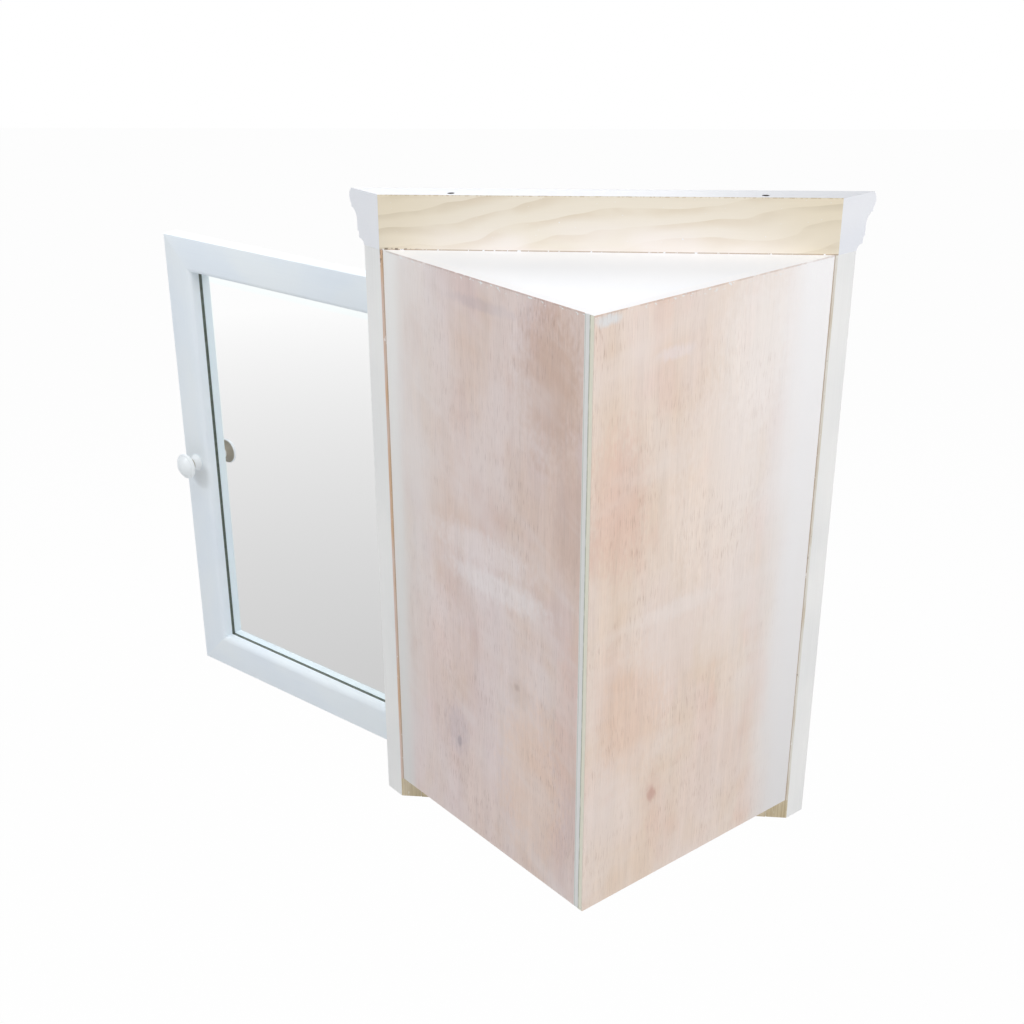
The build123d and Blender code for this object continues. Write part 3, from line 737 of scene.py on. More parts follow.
@dataclass(frozen=True)
class FrameWood:
    """Frame stock in white paint, bare pine on the rear face that lies against the box."""

    name: str
    plan: Plan
    paint: Paint
    pine: Colour
    deep: Colour
    pale: Colour
    cathedral: bool = False
    patchy_paint: Colour = shade(234, 232, 226)
    thin_paint: Colour = shade(214, 203, 186)
    glue: Colour = shade(218, 182, 152)
    rosy_glue: Colour = shade(222, 200, 192)
    dirt: Colour = shade(168, 142, 118)
    gap: Colour = shade(112, 98, 86)
    nick: Colour = shade(120, 102, 78)
    haze: Colour = shade(245, 238, 235)
    rim: Colour = shade(190, 166, 128)
    seam: Colour = shade(164, 138, 116)
    torn: Colour = shade(104, 90, 78)
    # Dark brown painted as shade on the walls of the cornice's screw holes.
    hole_shade: Colour = shade(70, 62, 56)

    def make(self) -> Material:
        """Builds the material: paint everywhere but at the rear face, which is y above the rear plane."""
        recipe = Recipe(self.name)
        along, across, through = recipe.stock()
        x, y, z = recipe.place()
        paint, brush = self.paint.coat(recipe, along, across, through)
        bare, grain = (self.cornice_rear(recipe, x, z) if self.cathedral
                       else self.straight(recipe, along, x, z))
        rear = y.ramp(self.plan.box_front - 0.0003, self.plan.box_front - 0.0001)
        colour = recipe.blend(rear, paint, bare)
        if self.cathedral:
            # Painted shade: the cornice's top face is darkened by about a quarter.
            shaded_top = z.ramp(self.plan.cornice_top - 0.0003, self.plan.cornice_top - 0.0001)
            colour = recipe.dimmed(colour, 1.0 - shaded_top * 0.235)
            # Painted shade: the screw holes' walls are coloured dark brown for the shade inside them.
            colour = recipe.blend(self.shaded_hole_walls(x, y, z), colour, self.hole_shade)
        recipe.relief(recipe.level(rear, brush, grain), 0.00014, 0.4)
        rough = recipe.level(rear, self.paint.roughness + brush * 0.12, 0.6)
        return recipe.finish(colour, rough, 0.0, Specular_IOR_Level=0.2)

    def straight(self, recipe: Recipe, along: Wire, x: Wire, z: Wire) -> tuple[Socket, Wire]:
        """Straight-grained pine under thin paint, with a brown line of glue and dirt beside the plywood."""
        edge, height = self.plan.half_width, self.plan.height
        lines = recipe.noise(along * 10, (x + z - along) * 700, 3.0, 3, 0.6)
        blotch = recipe.noise(x * 60, z * 22, 5.0, 3)
        wear = recipe.noise(x * 90, z * 16, 7.0, 3)
        beside = z.ramp(-0.0005, 0.0005)
        right = x.ramp(-0.01, 0.01)
        glued = recipe.blend(wear.ramp(0.35, 0.65), self.glue, self.rosy_glue)
        covered = recipe.blend(wear.ramp(0.30, 0.62), self.thin_paint, self.patchy_paint)
        dirt = abs(x).ramp(edge + 0.0013, edge + 0.0006) * beside
        lifted = z.ramp(height - 0.020, height - 0.004) * right
        gaps = recipe.noise(x * 500, z * 260, 14.0, 3, 0.6).ramp(0.50, 0.56)
        nick = recipe.noise(x * 350, z * 95, 8.0, 3, 0.65)
        colour = recipe.layered(self.pine, (lines.ramp(0.35, 0.65), self.deep),
                                (blotch.ramp(0.40, 0.70) * 0.5, self.pale),
                                (beside * 0.9, recipe.blend(right, covered, glued)),
                                (dirt * (0.30 + blotch * 0.6), self.dirt), (lifted * gaps * 0.8, self.gap),
                                (nick.ramp(0.68, 0.73) * 0.6, self.nick),
                                (nick.ramp(0.36, 0.31) * 0.6, self.paint.white))
        return colour, lines

    def shaded_hole_walls(self, x: Wire, y: Wire, z: Wire) -> Wire:
        """1 on the walls of the two screw holes, which are painted dark as the shade inside them: within 4 mm
        of a hole's middle and below the top.
        """
        u = abs(x) - self.plan.cornice_hole
        v = y - (self.plan.box_front - self.plan.frame / 2)
        below = z.ramp(self.plan.cornice_top - 0.0001, self.plan.cornice_top - 0.0006)
        return ((u * u + v * v) ** 0.5).ramp(0.0040, 0.0038) * below

    def cornice_rear(self, recipe: Recipe, x: Wire, z: Wire) -> tuple[Socket, Wire]:
        """Flat-sawn pine with few, wide rings that rise along the length.

        The ring number is 62 times the height plus 9 times the length, swayed by noise. Each ring darkens
        slowly, ends sharply and fades out in places.
        """
        up = z - self.plan.height
        sway = recipe.noise(x * 4.5, up * 11, 2.0, 3, 0.5) - 0.5
        rings = up * 62 + x * 9.0 + sway * 4.2
        ring = rings.math("FRACT", rings + 20.0)
        faint = recipe.noise(x * 14, up * 30, 12.0, 3).ramp(0.36, 0.62)
        late = ring.ramp(0.35, 0.93) * ring.ramp(1.0, 0.95) * (0.25 + faint * 0.75)
        fibre = recipe.noise(x * 26, up * 1300, 4.0, 3, 0.6)
        clear = recipe.dimmed(recipe.blend(late * 0.42, self.pale, self.deep), 0.935 + fibre * 0.06)
        yellow = abs(x).ramp(0.10, 0.205) * 0.7 + up.ramp(0.01, 0.05) * 0.3
        haze = recipe.noise(x * 9, up * 16, 6.0, 2).ramp(0.30, 0.60) * up.ramp(0.040, 0.004)
        tick = recipe.noise(x * 210, up * 120, 9.0, 3, 0.6)
        specks = recipe.noise(x * 420, up * 420, 13.0, 2, 0.5).ramp(0.72, 0.76)
        seam = up.ramp(0.0011, 0.0006)
        torn = up.ramp(0.0022, 0.0012) * x.ramp(0.165, 0.195) * tick.ramp(0.50, 0.44)
        colour = recipe.layered(clear, (yellow * 0.85, recipe.dimmed(self.pine, 1.0 - late * 0.12)),
                                (haze * abs(x).ramp(0.20, 0.10) * 0.75, self.haze),
                                (specks * 0.8, self.paint.white),
                                (up.ramp(0.0496, 0.0504) * tick.ramp(0.47, 0.57) * 0.5, self.rim),
                                (seam * 0.75, self.seam), (torn * 0.8, self.torn),
                                (seam * tick.ramp(0.56, 0.60), self.paint.white))
        return colour, late * 0.5 + fibre * 0.5


@dataclass(frozen=True)
class Metal:
    """Plain metal with fine scratches and a faint tone."""

    name: str
    base: Colour
    worn: Colour
    roughness: float

    def make(self) -> Material:
        """Builds the material."""
        recipe = Recipe(self.name)
        x, y, z = recipe.place()
        scratch = recipe.noise(x * 2500, y * 2500, z * 300, 3, 0.6)
        tone = recipe.noise(x * 160, y * 160, z * 160, 3)
        colour = recipe.blend(tone.ramp(0.35, 0.7), self.base, self.worn)
        recipe.relief(scratch, 0.00003, 0.4)
        return recipe.finish(colour, self.roughness + scratch * 0.14, 1.0)


@dataclass(frozen=True)
class Moulded:
    """Moulded or pressed stuff with a fine surface: plastic, hardboard or ferrite."""

    name: str
    base: Colour
    fleck: Colour
    roughness: float
    fleck_size: float
    depth: float = 0.00004

    def make(self) -> Material:
        """Builds the material."""
        recipe = Recipe(self.name)
        x, y, z = recipe.place()
        scale = 1 / self.fleck_size
        fleck = recipe.noise(x * scale, y * scale, z * scale, 3, 0.6)
        cloud = recipe.noise(x * 12, y * 12, z * 12, 2)
        colour = recipe.blend(fleck.ramp(0.35, 0.7), self.base, self.fleck)
        colour = recipe.dimmed(colour, 0.96 + cloud * 0.08)
        recipe.relief(fleck, self.depth, 0.5)
        return recipe.finish(colour, self.roughness + fleck * 0.12, 0.0, Specular_IOR_Level=0.4)


@dataclass(frozen=True)
class Silvering:
    """The mirror's silvered face, with a faintly tinted border."""

    tint: Colour
    border: Colour
    half_width: float
    middle: float
    half_height: float
    side_border: float = 0.0235
    end_border: float = 0.0185
    fade: float = 0.0015

    def make(self) -> Material:
        """Builds the material. The border is where a point is within its width of the sheet's edge."""
        recipe = Recipe("silvered_glass")
        x, z, _ = recipe.stock()
        side_start, end_start = self.half_width - self.side_border, self.half_height - self.end_border
        side = abs(x).line(side_start - self.fade, side_start + self.fade)
        end = abs(z - self.middle).line(end_start - self.fade, end_start + self.fade)
        film = recipe.noise(x * 5, z * 5, 1.0, 2)
        tint = recipe.blend(side.math("MAXIMUM", side, end), self.tint, self.border)
        return recipe.finish(recipe.dimmed(tint, 0.995 + film * 0.01), 0.008 + film * 0.006, 1.0)


# Sub-assemblies


@dataclass
class Palette:
    """All the finishes as built materials."""

    plan: Plan
    mirror_inset: float = 0.031

    def __post_init__(self) -> None:
        """Builds each finish once."""
        p = self.plan
        white, cool = shade(243, 250, 255), shade(237, 246, 255)
        paint = Paint("frame_paint", shade(249, 249, 248), shade(242, 243, 243), 0.36, 1.6)
        cornice_paint = Paint("cornice_paint", shade(244, 246, 251), shade(238, 241, 248))
        pine, deep, pale = shade(214, 200, 170), shade(190, 172, 138), shade(228, 218, 200)
        self.door_paint = Paint("door_paint", white, cool).make()
        self.knob_paint = Paint("knob_paint", shade(246, 251, 254), shade(242, 248, 253),
                                roughness=0.3, brush=0.4, shade_under_cap=True).make()
        self.board = BoardPaint("board_paint", shade(250, 251, 254), shade(246, 248, 252)).make()
        self.frame = FrameWood("frame_wood", p, paint, pine, deep, pale).make()
        self.cornice = FrameWood("cornice_wood", p, cornice_paint, shade(232, 220, 196),
                                 shade(212, 190, 158), shade(241, 233, 219), cathedral=True).make()
        self.plywood_right = self.plywood(Side.RIGHT).make()
        self.plywood_left = self.plywood(Side.LEFT).make()
        self.silver = Silvering(shade(253, 253, 253), shade(250, 255, 255), p.door_half - self.mirror_inset,
                                p.door_middle, p.door_middle - p.door_bottom - self.mirror_inset).make()
        # Dark green of the glass's edge, darkened as painted shade of the rebate round the mirror.
        self.glass_edge_shade = Moulded("glass_edge_shade", shade(86, 94, 86), shade(102, 110, 102), 0.12, 0.004).make()
        self.steel = Metal("zinc_steel", shade(196, 198, 200), shade(172, 174, 178), 0.26).make()
        self.black = Metal("black_steel", shade(52, 52, 54), shade(36, 36, 38), 0.4).make()
        self.white_plastic = Moulded("white_plastic", shade(238, 238, 234), shade(230, 230, 226),
                                     0.32, 0.0006).make()
        self.clear_plastic = Moulded("clear_plastic", shade(224, 229, 230), shade(212, 219, 221),
                                     0.16, 0.002).make()
        self.hardboard = Moulded("brown_hardboard", shade(150, 114, 80), shade(104, 74, 48),
                                 0.62, 0.0016, 0.0001).make()
        self.ferrite = Moulded("ferrite", shade(62, 62, 65), shade(46, 46, 48), 0.5, 0.0005).make()

    def plywood(self, side: Side) -> Plywood:
        """The plywood of one panel with its own marks."""
        if side is Side.RIGHT:
            marks = (
                Mark(0.0750, 0.110, 0.0550, 0.1100, shade(240, 212, 193), 0.66),
                Mark(0.0550, 0.515, 0.0500, 0.0850, shade(208, 177, 159), 0.68),
                Mark(0.2050, 0.220, 0.0400, 0.0600, shade(238, 222, 220), 0.50),
                Mark(0.0250, 0.400, 0.0300, 0.0700, shade(208, 180, 168), 0.40),
                Mark(0.1500, 0.330, 0.0900, 0.0220, shade(243, 235, 235), 0.55),
                Mark(0.1250, 0.298, 0.0850, 0.0180, shade(244, 238, 238), 0.66),
                Mark(0.1450, 0.566, 0.0600, 0.0070, shade(200, 184, 186), 0.45),
                Mark(0.0250, 0.200, 0.0220, 0.1000, shade(228, 196, 186), 0.50),
                Mark(0.1880, 0.099, 0.0048, 0.0085, shade(150, 140, 148), 0.70),
                Mark(0.1910, 0.112, 0.0200, 0.0340, shade(208, 195, 200), 0.50),
                Mark(0.0970, 0.204, 0.0050, 0.0050, shade(160, 128, 114), 0.75),
                Mark(0.0950, 0.200, 0.0220, 0.0200, shade(210, 184, 168), 0.45),
            )
            return Plywood(side, self.plan, veneer=shade(231, 213, 207), tan=shade(226, 203, 190),
                           bleached=shade(243, 235, 235), pore=shade(164, 130, 120),
                           rosy=shade(219, 190, 180), mauve=shade(226, 210, 214), smear_run=0.86,
                           smear_rise=0.50, overspray_start=0.262, overspray_full=0.284,
                           overspray_lean=0.01, seed=11.0, marks=marks)
        marks = (
            Mark(0.0330, 0.415, 0.0400, 0.0850, shade(227, 193, 177), 0.60),
            Mark(0.0300, 0.230, 0.0300, 0.0700, shade(226, 194, 180), 0.35),
            Mark(0.1550, 0.390, 0.0650, 0.1500, shade(248, 236, 228), 0.50),
            Mark(0.1950, 0.520, 0.0550, 0.0900, shade(250, 240, 233), 0.60),
            Mark(0.0600, 0.190, 0.0500, 0.0900, shade(234, 204, 182), 0.50),
            Mark(0.0870, 0.098, 0.0068, 0.0110, shade(186, 128, 114), 0.80),
            Mark(0.0870, 0.098, 0.0180, 0.0300, shade(222, 188, 170), 0.35),
            Mark(0.0140, 0.582, 0.0180, 0.0066, shade(232, 235, 238), 0.80),
            Mark(0.0930, 0.539, 0.0260, 0.0075, shade(240, 229, 230), 0.55),
            Mark(0.1130, 0.292, 0.0560, 0.0120, shade(244, 236, 232), 0.42),
        )
        return Plywood(side, self.plan, veneer=shade(236, 219, 206), tan=shade(232, 210, 191),
                       bleached=shade(244, 233, 227), pore=shade(178, 142, 122),
                       rosy=shade(233, 201, 186), mauve=shade(238, 222, 219), smear_run=0.97,
                       smear_rise=0.20, overspray_start=0.212, overspray_full=0.272,
                       overspray_lean=0.02, seed=47.0, marks=marks, dust=shade(247, 247, 249))


@dataclass
class Box:
    """The plywood box: two back panels, top and bottom boards, two shelves on pins."""

    plan: Plan
    palette: Palette
    nodes: Mapping[str, bpy.types.Object]

    def build(self) -> None:
        """Dresses the CAD nodes, which already have the right shapes."""
        dress(self.nodes["panel_left"], self.palette.plywood_left)
        dress(self.nodes["panel_right"], self.palette.plywood_right)
        for name in ("top_board", "bottom_board", "shelf_upper", "shelf_lower"):
            dress(self.nodes[name], self.palette.board)
        for name in ("shelf_pins_upper", "shelf_pins_lower"):
            dress(self.nodes[name], self.palette.clear_plastic, 0.0003)


@dataclass
class FaceFrame:
    """The face frame: two bevelled stiles and two rails."""

    plan: Plan
    palette: Palette
    arris: float = 0.0007

    def build(self) -> None:
        """Makes the stiles as prisms over their plans and the rails as boxes, with eased edges."""
        p = self.plan
        shapes = {}
        for side in Side:
            sign = side.value
            inner, outer = sign * p.opening_half, sign * p.rear_half
            outline = [(inner, p.box_front), (outer, p.box_front), (outer + sign * p.frame, p.frame_front),
                       (inner, p.frame_front)]
            shapes[f"stile_{side.name.lower()}"] = (prism(outline, -p.drop, p.height), self.arris)
        for name, low, high in (("top", p.opening_top, p.height), ("bottom", -p.drop, p.opening_bottom)):
            shape = boxed((-p.opening_half, p.frame_front, low), (p.opening_half, p.box_front, high), 0)
            shapes[f"rail_{name}"] = (shape, self.arris / 2)
        for name, (shape, arris) in shapes.items():
            make_piece(f"{name}_dressed", shape, self.palette.frame, "cabinet", [name], arris)


@dataclass
class Cornice:
    """The moulded cornice with its bevel-cut ends and two deep screw holes."""

    plan: Plan
    palette: Palette
    low_cove: float = 0.0055
    low_fillet: float = 0.011
    low_step: float = 0.0015
    high_bottom: float = 0.022
    high_top: float = 0.033
    high_depth: float = 0.0045
    shoulder: float = 0.0015
    nose_bottom: float = 0.036
    nose_middle: float = 0.043
    nose_swell: float = 0.002
    nose_setback: float = 0.0005
    bore_radius: float = 0.0035
    cutter_above: float = 0.002
    smooth: float = 25.0

    def section(self) -> np.ndarray:
        """The moulding's outline: depth forward of its rear face, and height above its underside."""
        face = self.plan.frame
        low = face + self.low_cove
        middle = low + self.low_step
        high = middle + self.high_depth
        shoulder = high + self.shoulder
        rise = self.high_top - self.high_bottom
        reach = (self.high_depth ** 2 + rise ** 2) / (2 * self.high_depth)
        turn = math.asin(rise / reach)
        quarter = np.linspace(0, math.pi / 2, 14)
        part = np.linspace(0, turn, 14)
        parts = [
            [(0, 0)],
            np.column_stack([face + self.low_cove * (1 - np.cos(quarter)), self.low_cove * np.sin(quarter)]),
            [(low, self.low_fillet), (middle, self.low_fillet + self.low_step)],
            np.column_stack([middle + reach * (1 - np.cos(part)), self.high_bottom + reach * np.sin(part)]),
            [(shoulder, self.high_top)],
            arc((shoulder, self.nose_bottom), (shoulder + self.nose_swell, self.nose_middle),
                (shoulder - self.nose_setback, self.plan.cornice), 20),
            [(0, self.plan.cornice)],
        ]
        return np.vstack([np.asarray(piece, float) for piece in parts])

    def build(self) -> None:
        """Carries the section from end to end. At depth t an end lies at the rear half-width plus t."""
        p = self.plan
        section = self.section()
        depth, rise = section[:, 0], section[:, 1]
        ends = [np.column_stack([sign * (p.rear_half + depth), p.box_front - depth, p.height + rise])
                for sign in (1, -1)]
        shape = swept(section, ends)
        shape.stock = shape.points.copy()
        piece = make_piece("cornice_dressed", shape, self.palette.cornice, "cabinet",
                           ["cornice"], smooth=self.smooth)
        spots = [(sign * p.cornice_hole, p.box_front - p.frame / 2, p.cornice_top) for sign in (1, -1)]
        bore(piece, [self.hole().moved(np.eye(3), spot) for spot in spots])
        piece.data.set_sharp_from_angle(angle=math.radians(self.smooth))

    def hole(self) -> Shape:
        """A round cutter that stands a little out of the top."""
        r, depth, above = self.bore_radius, self.plan.cornice_bore, self.cutter_above
        return lathed(np.array([(0, above), (r, above), (r, -depth), (0, -depth)]), 40)


@dataclass
class Screws:
    """Screws with cross recesses, turned on a polar grid."""

    plan: Plan
    segments: int = 64
    recess_depth: float = 0.45
    arm_width: float = 0.17
    arm_reach: float = 0.62
    first_turn: float = 0.5
    next_turn: float = 1.9

    def one(self, head: Head, radius: float, rise: float, shank: float, length: float) -> Shape:
        """One screw with its seat at the origin and its head along +Z.

        The head's top is a dome rise (1 - (r/R) squared / 2.5), or flat. It is sunk in a cross, where one
        of the point's coordinates is within an arm's width and the other within the arm's reach.

        Args:
            head: the head's shape.
            radius: the head's radius.
            rise: a pan head's height, or a flat head's depth.
            shank: the shank's radius.
            length: the length below the seat.
        Returns:
            The screw's mesh.
        """
        ratio = np.linspace(0.0, 0.94, 17)
        dome = rise * (1 - ratio ** 2 / 2.5) if head is Head.PAN else np.zeros_like(ratio)
        top = np.column_stack([ratio * radius, dome])
        if head is Head.PAN:
            side = [(radius, rise * 0.48), (radius, 0.00001), (shank, 0.0)]
        else:
            side = [(radius, -0.0001), (radius, -0.0002), (shank, -rise)]
        body = [(shank, -0.8 * length), (shank * 0.6, -0.93 * length), (0.0, -length)]
        shape = lathed(np.vstack([top, side, body]), self.segments)
        cut = self.recess_depth * (rise if head is Head.PAN else rise * 0.9)
        points = shape.points[:len(top) * self.segments]
        away = np.sort(np.abs(points[:, :2]) / radius, axis=1)
        inside = 1 / (1 + np.exp((away[:, 0] - self.arm_width) * 60))
        inside *= 1 / (1 + np.exp((away[:, 1] - self.arm_reach) * 40))
        points[:, 2] -= cut * inside * (1.15 - 0.7 * away[:, 1])
        return shape

    def along(self, shape: Shape, outward: Sequence[float], seat: Sequence[float], spin: float) -> Shape:
        """A screw turned so that its head points outward, spun about itself and put on its seat."""
        tilt = Vector((0, 0, 1)).rotation_difference(Vector(outward)).to_matrix()
        return shape.moved(np.array(tilt @ Matrix.Rotation(spin, 3, "Z")), seat)

    def group(self, node: str, material: Material, body: str, screw: Shape,
              outward: Sequence[float], seats: Sequence[Sequence[float]]) -> None:
        """Makes all the screws of one CAD node as one piece, each turned to its own angle."""
        whole = None
        for index, seat in enumerate(seats):
            placed = self.along(screw, outward, seat, self.first_turn + self.next_turn * index)
            whole = placed if whole is None else whole.joined(placed)
        if body == "door":
            whole = self.plan.swung(whole)
        make_piece(f"{node}_cross", whole, material, body, [node], smooth=40.0)


@dataclass
class Knob:
    """The turned knob on the free stile."""

    plan: Plan
    palette: Palette
    radius: float = 0.015
    rim_round: float = 0.0022
    rim_height: float = 0.0165
    foot_radius: float = 0.0095
    foot: float = 0.0015
    neck_radius: float = 0.007
    neck_height: float = 0.0065
    height: float = 0.025
    soft: float = 0.0004

    def profile(self) -> np.ndarray:
        """Radius and height from the foot's middle over the neck, the rim and the dome to the crown."""
        rim_low = (self.radius - self.rim_round, self.rim_height - self.rim_round)
        rim_high = (self.radius - self.rim_round, self.rim_height + self.rim_round)
        rise = self.height - rim_high[1]
        dome_radius = (rim_high[0] ** 2 + rise ** 2) / (2 * rise)
        turn = np.linspace(math.asin(rim_high[0] / dome_radius), 0, 16)
        dome = np.column_stack([dome_radius * np.sin(turn), self.height - dome_radius * (1 - np.cos(turn))])
        foot = self.foot_radius
        parts = [
            [(0, 0), (foot - self.soft, 0), (foot, self.soft), (foot, self.foot)],
            arc((foot, self.foot), (self.neck_radius, self.neck_height), rim_low, 22)[1:],
            arc(rim_low, (self.radius, self.rim_height), rim_high, 14)[1:],
            dome[1:],
        ]
        return np.vstack([np.asarray(part, float) for part in parts])

    def build(self) -> None:
        """Turns the profile and stands it on the closed door's face, then swings it open."""
        p = self.plan
        shape = lathed(self.profile(), 72)
        shape.stock = shape.points[:, [2, 0, 1]]
        forward = np.array([[1, 0, 0], [0, 0, -1], [0, 1, 0]])
        spot = (p.member / 2 - p.door_half, p.frame_front, p.door_middle)
        make_piece("knob_turned", p.swung(shape.moved(forward, spot)), self.palette.knob_paint, "door",
                   ["knob"], smooth=50.0)


@dataclass
class Door:
    """The door: four mitred members, the mirror in its rebate, backing and clips."""

    plan: Plan
    palette: Palette
    nodes: Mapping[str, bpy.types.Object]
    edge_round: float = 0.0055
    arris: float = 0.0008
    rebate: float = 0.008
    glass: float = 0.003
    glass_clearance: float = 0.0005
    backing: float = 0.003
    silvering: float = 0.0008
    edge_shown: float = 0.0004
    grain_step: float = 3.7

    def section(self) -> np.ndarray:
        """A member's outline: distance from the door's outer edge, and depth behind its face.

        The inner front edge is a quarter circle and the outer one a smaller one. The rebate is cut behind.
        """
        width, thick = self.plan.member, self.plan.door_thickness
        lip = thick - self.backing - self.glass
        small, large = (1 - np.sin(np.linspace(0, math.pi / 2, steps)) for steps in (5, 14))
        outer = self.arris * np.column_stack([small, small[::-1]])[::-1]
        inner = self.edge_round * np.column_stack([-large, large[::-1]]) + (width, 0)
        rest = [(width, lip), (width - self.rebate, lip), (width - self.rebate, thick), (0, thick)]
        return np.vstack([outer, inner, rest])

    def member(self, half_length: float) -> Shape:
        """A member along +X with its outer edge at z = 0. At distance w from it the ends lie w further in."""
        section = self.section()
        across, back = section[:, 0], section[:, 1]
        ends = [np.column_stack([sign * (half_length - across), back, across]) for sign in (1, -1)]
        shape = swept(section, ends)
        shape.stock = shape.points[:, [0, 2, 1]]
        return shape

    def build(self) -> None:
        """Makes the four members and the glass, and dresses the fittings behind them."""
        p = self.plan
        half_height = (p.door_top - p.door_bottom) / 2
        upright = np.array([[0, 0, 1], [0, 1, 0], [1, 0, 0]])
        mirrored, flipped = np.diag([-1, 1, 1]), np.diag([1, 1, -1])
        stile, rail = self.member(half_height), self.member(p.door_half)
        places = {
            "door_stile_free": (stile, upright, (-p.door_half, p.frame_front, p.door_middle)),
            "door_stile_hinge": (stile, mirrored @ upright, (p.door_half, p.frame_front, p.door_middle)),
            "door_rail_bottom": (rail, np.eye(3), (0, p.frame_front, p.door_bottom)),
            "door_rail_top": (rail, flipped, (0, p.frame_front, p.door_top)),
        }
        for index, (name, (shape, turn, spot)) in enumerate(places.items()):
            placed = p.swung(shape.moved(turn, spot))
            placed.stock = placed.stock + np.array([index * self.grain_step, 0, 0])
            make_piece(f"{name}_dressed", placed, self.palette.door_paint, "door", [name],
                       smooth=28.0)
        self.build_glass()
        dress(self.nodes["mirror_backing"], self.palette.hardboard)
        dress(self.nodes["mirror_clips"], self.palette.steel, 0.00015)
        dress(self.nodes["strike_plate"], self.palette.steel, 0.0002)

    def build_glass(self) -> None:
        """The silvered sheet at the back of the glass, and round it a dark green ring: the glass's edge with
        the rebate's shade painted in.
        """
        p = self.plan
        inset = p.member - self.rebate + self.glass_clearance
        half = p.door_half - inset
        low, high = p.door_bottom + inset, p.door_top - inset
        back = p.door_back - self.backing
        front, glass_front = back - self.silvering, back - self.glass
        sheet = boxed((-half, front, low), (half, back, high), 0)
        sheet.stock = sheet.points[:, [0, 2, 1]]
        make_piece("mirror_silvered", p.swung(sheet), self.palette.silver, "door", ["mirror"])
        # Painted shade: a dark green ring round the silvering stands for the glass's edge and the rebate's
        # shade seen through it.
        seen = self.rebate - self.glass_clearance - self.edge_shown
        outer = np.array([(-half, low), (half, low), (half, high), (-half, high)])
        inner = outer + seen * np.array([(1, 1), (-1, 1), (-1, -1), (1, -1)])
        rings = [(outer, glass_front), (inner, glass_front), (inner, front), (outer, front)]
        rows = [np.column_stack([ring[:, 0], np.full(4, level), ring[:, 1]]) for ring, level in rings]
        points = np.stack(rows).reshape(-1, 3)
        shape = Shape(points, grid_faces(4, 4, wrap_columns=True, wrap_rows=True).tolist())
        make_piece("mirror_edge_shade_ring", p.swung(shape), self.palette.glass_edge_shade, "door")


@dataclass
class Fittings:
    """Hinges, catch and every screw."""

    plan: Plan
    palette: Palette
    nodes: Mapping[str, bpy.types.Object]
    hinge_inset: float = 0.080
    hinge_screw_spacing: float = 0.032
    leaf_clearance: float = 0.0003
    leaf_depth: float = 0.015
    clip_inset: float = 0.0305
    clip_from_ends: float = 0.135
    clip_screw_back: float = 0.005
    clip_thickness: float = 0.0008
    catch_from_edge: float = 0.056
    strike_thickness: float = 0.0012
    strike_middle: float = 0.0065
    catch_clearance: float = 0.0003
    catch_middle: float = 0.0065
    catch_ear: float = 0.018
    catch_foot: float = 0.003

    def build(self) -> None:
        """Dresses hinges and catch and makes the screws."""
        for part in ("leaf_frame", "leaf_door", "pin"):
            for level in ("upper", "lower"):
                dress(self.nodes[f"hinge_{part}_{level}"], self.palette.steel, 0.00012)
        dress(self.nodes["catch_body"], self.palette.white_plastic, 0.0003)
        dress(self.nodes["catch_magnet"], self.palette.ferrite)
        self.build_screws()

    def build_screws(self) -> None:
        """Puts a recessed screw wherever the CAD has one."""
        p = self.plan
        screws = Screws(p)
        steel, black = self.palette.steel, self.palette.black
        low, high = p.door_bottom + self.hinge_inset, p.door_top - self.hinge_inset
        heights = [middle + sign * self.hinge_screw_spacing / 2 for middle in (high, low) for sign in (1, -1)]
        y = p.frame_front + self.leaf_depth / 2
        hinge = screws.one(Head.FLAT, radius=0.0025, rise=0.0012, shank=0.0013, length=0.014)
        for node, body, sign in (("hinge_screws_frame", "cabinet", 1), ("hinge_screws_door", "door", -1)):
            seats = [(p.hinge[0] + sign * self.leaf_clearance / 2, y, z) for z in heights]
            screws.group(node, steel, body, hinge, (-sign, 0, 0), seats)
        clip = screws.one(Head.PAN, radius=0.0024, rise=0.0010, shank=0.0012, length=0.009)
        back = p.door_back + self.clip_thickness
        side = p.door_half - self.clip_inset + self.clip_screw_back
        low = p.door_bottom + self.clip_inset - self.clip_screw_back
        high = p.door_top - self.clip_inset + self.clip_screw_back
        seats = [(sign * side, back, z) for sign in (-1, 1)
                 for z in (p.door_bottom + self.clip_from_ends, p.door_top - self.clip_from_ends)]
        seats += [(0, back, low), (0, back, high)]
        screws.group("mirror_clip_screws", steel, "door", clip, (0, 1, 0), seats)
        knob = screws.one(Head.PAN, radius=0.0045, rise=0.0022, shank=0.0020, length=0.031)
        spot = (p.member / 2 - p.door_half, p.door_back, p.door_middle)
        screws.group("knob_screw", steel, "door", knob, (0, 1, 0), [spot])
        strike = screws.one(Head.FLAT, radius=0.0025, rise=0.0012, shank=0.0013, length=0.012)
        catch_x = self.catch_from_edge - p.door_half
        spot = (catch_x, p.door_back + self.strike_thickness, p.door_bottom + self.strike_middle)
        screws.group("strike_screw", steel, "door", strike, (0, 1, 0), [spot])
        catch = screws.one(Head.PAN, radius=0.0024, rise=0.0012, shank=0.0013, length=0.010)
        y = p.door_back + self.strike_thickness + self.catch_clearance + self.catch_middle
        seats = [(catch_x + sign * self.catch_ear, y, p.board + self.catch_foot) for sign in (-1, 1)]
        screws.group("catch_screws", steel, "cabinet", catch, (0, 0, 1), seats)
        deep = screws.one(Head.PAN, radius=0.0034, rise=0.0026, shank=0.0020, length=0.057)
        seats = [(sign * p.cornice_hole, p.box_front - p.frame / 2, p.cornice_top - p.cornice_bore)
                 for sign in (-1, 1)]
        screws.group("cornice_screws", black, "cabinet", deep, (0, 0, 1), seats)


# Studio


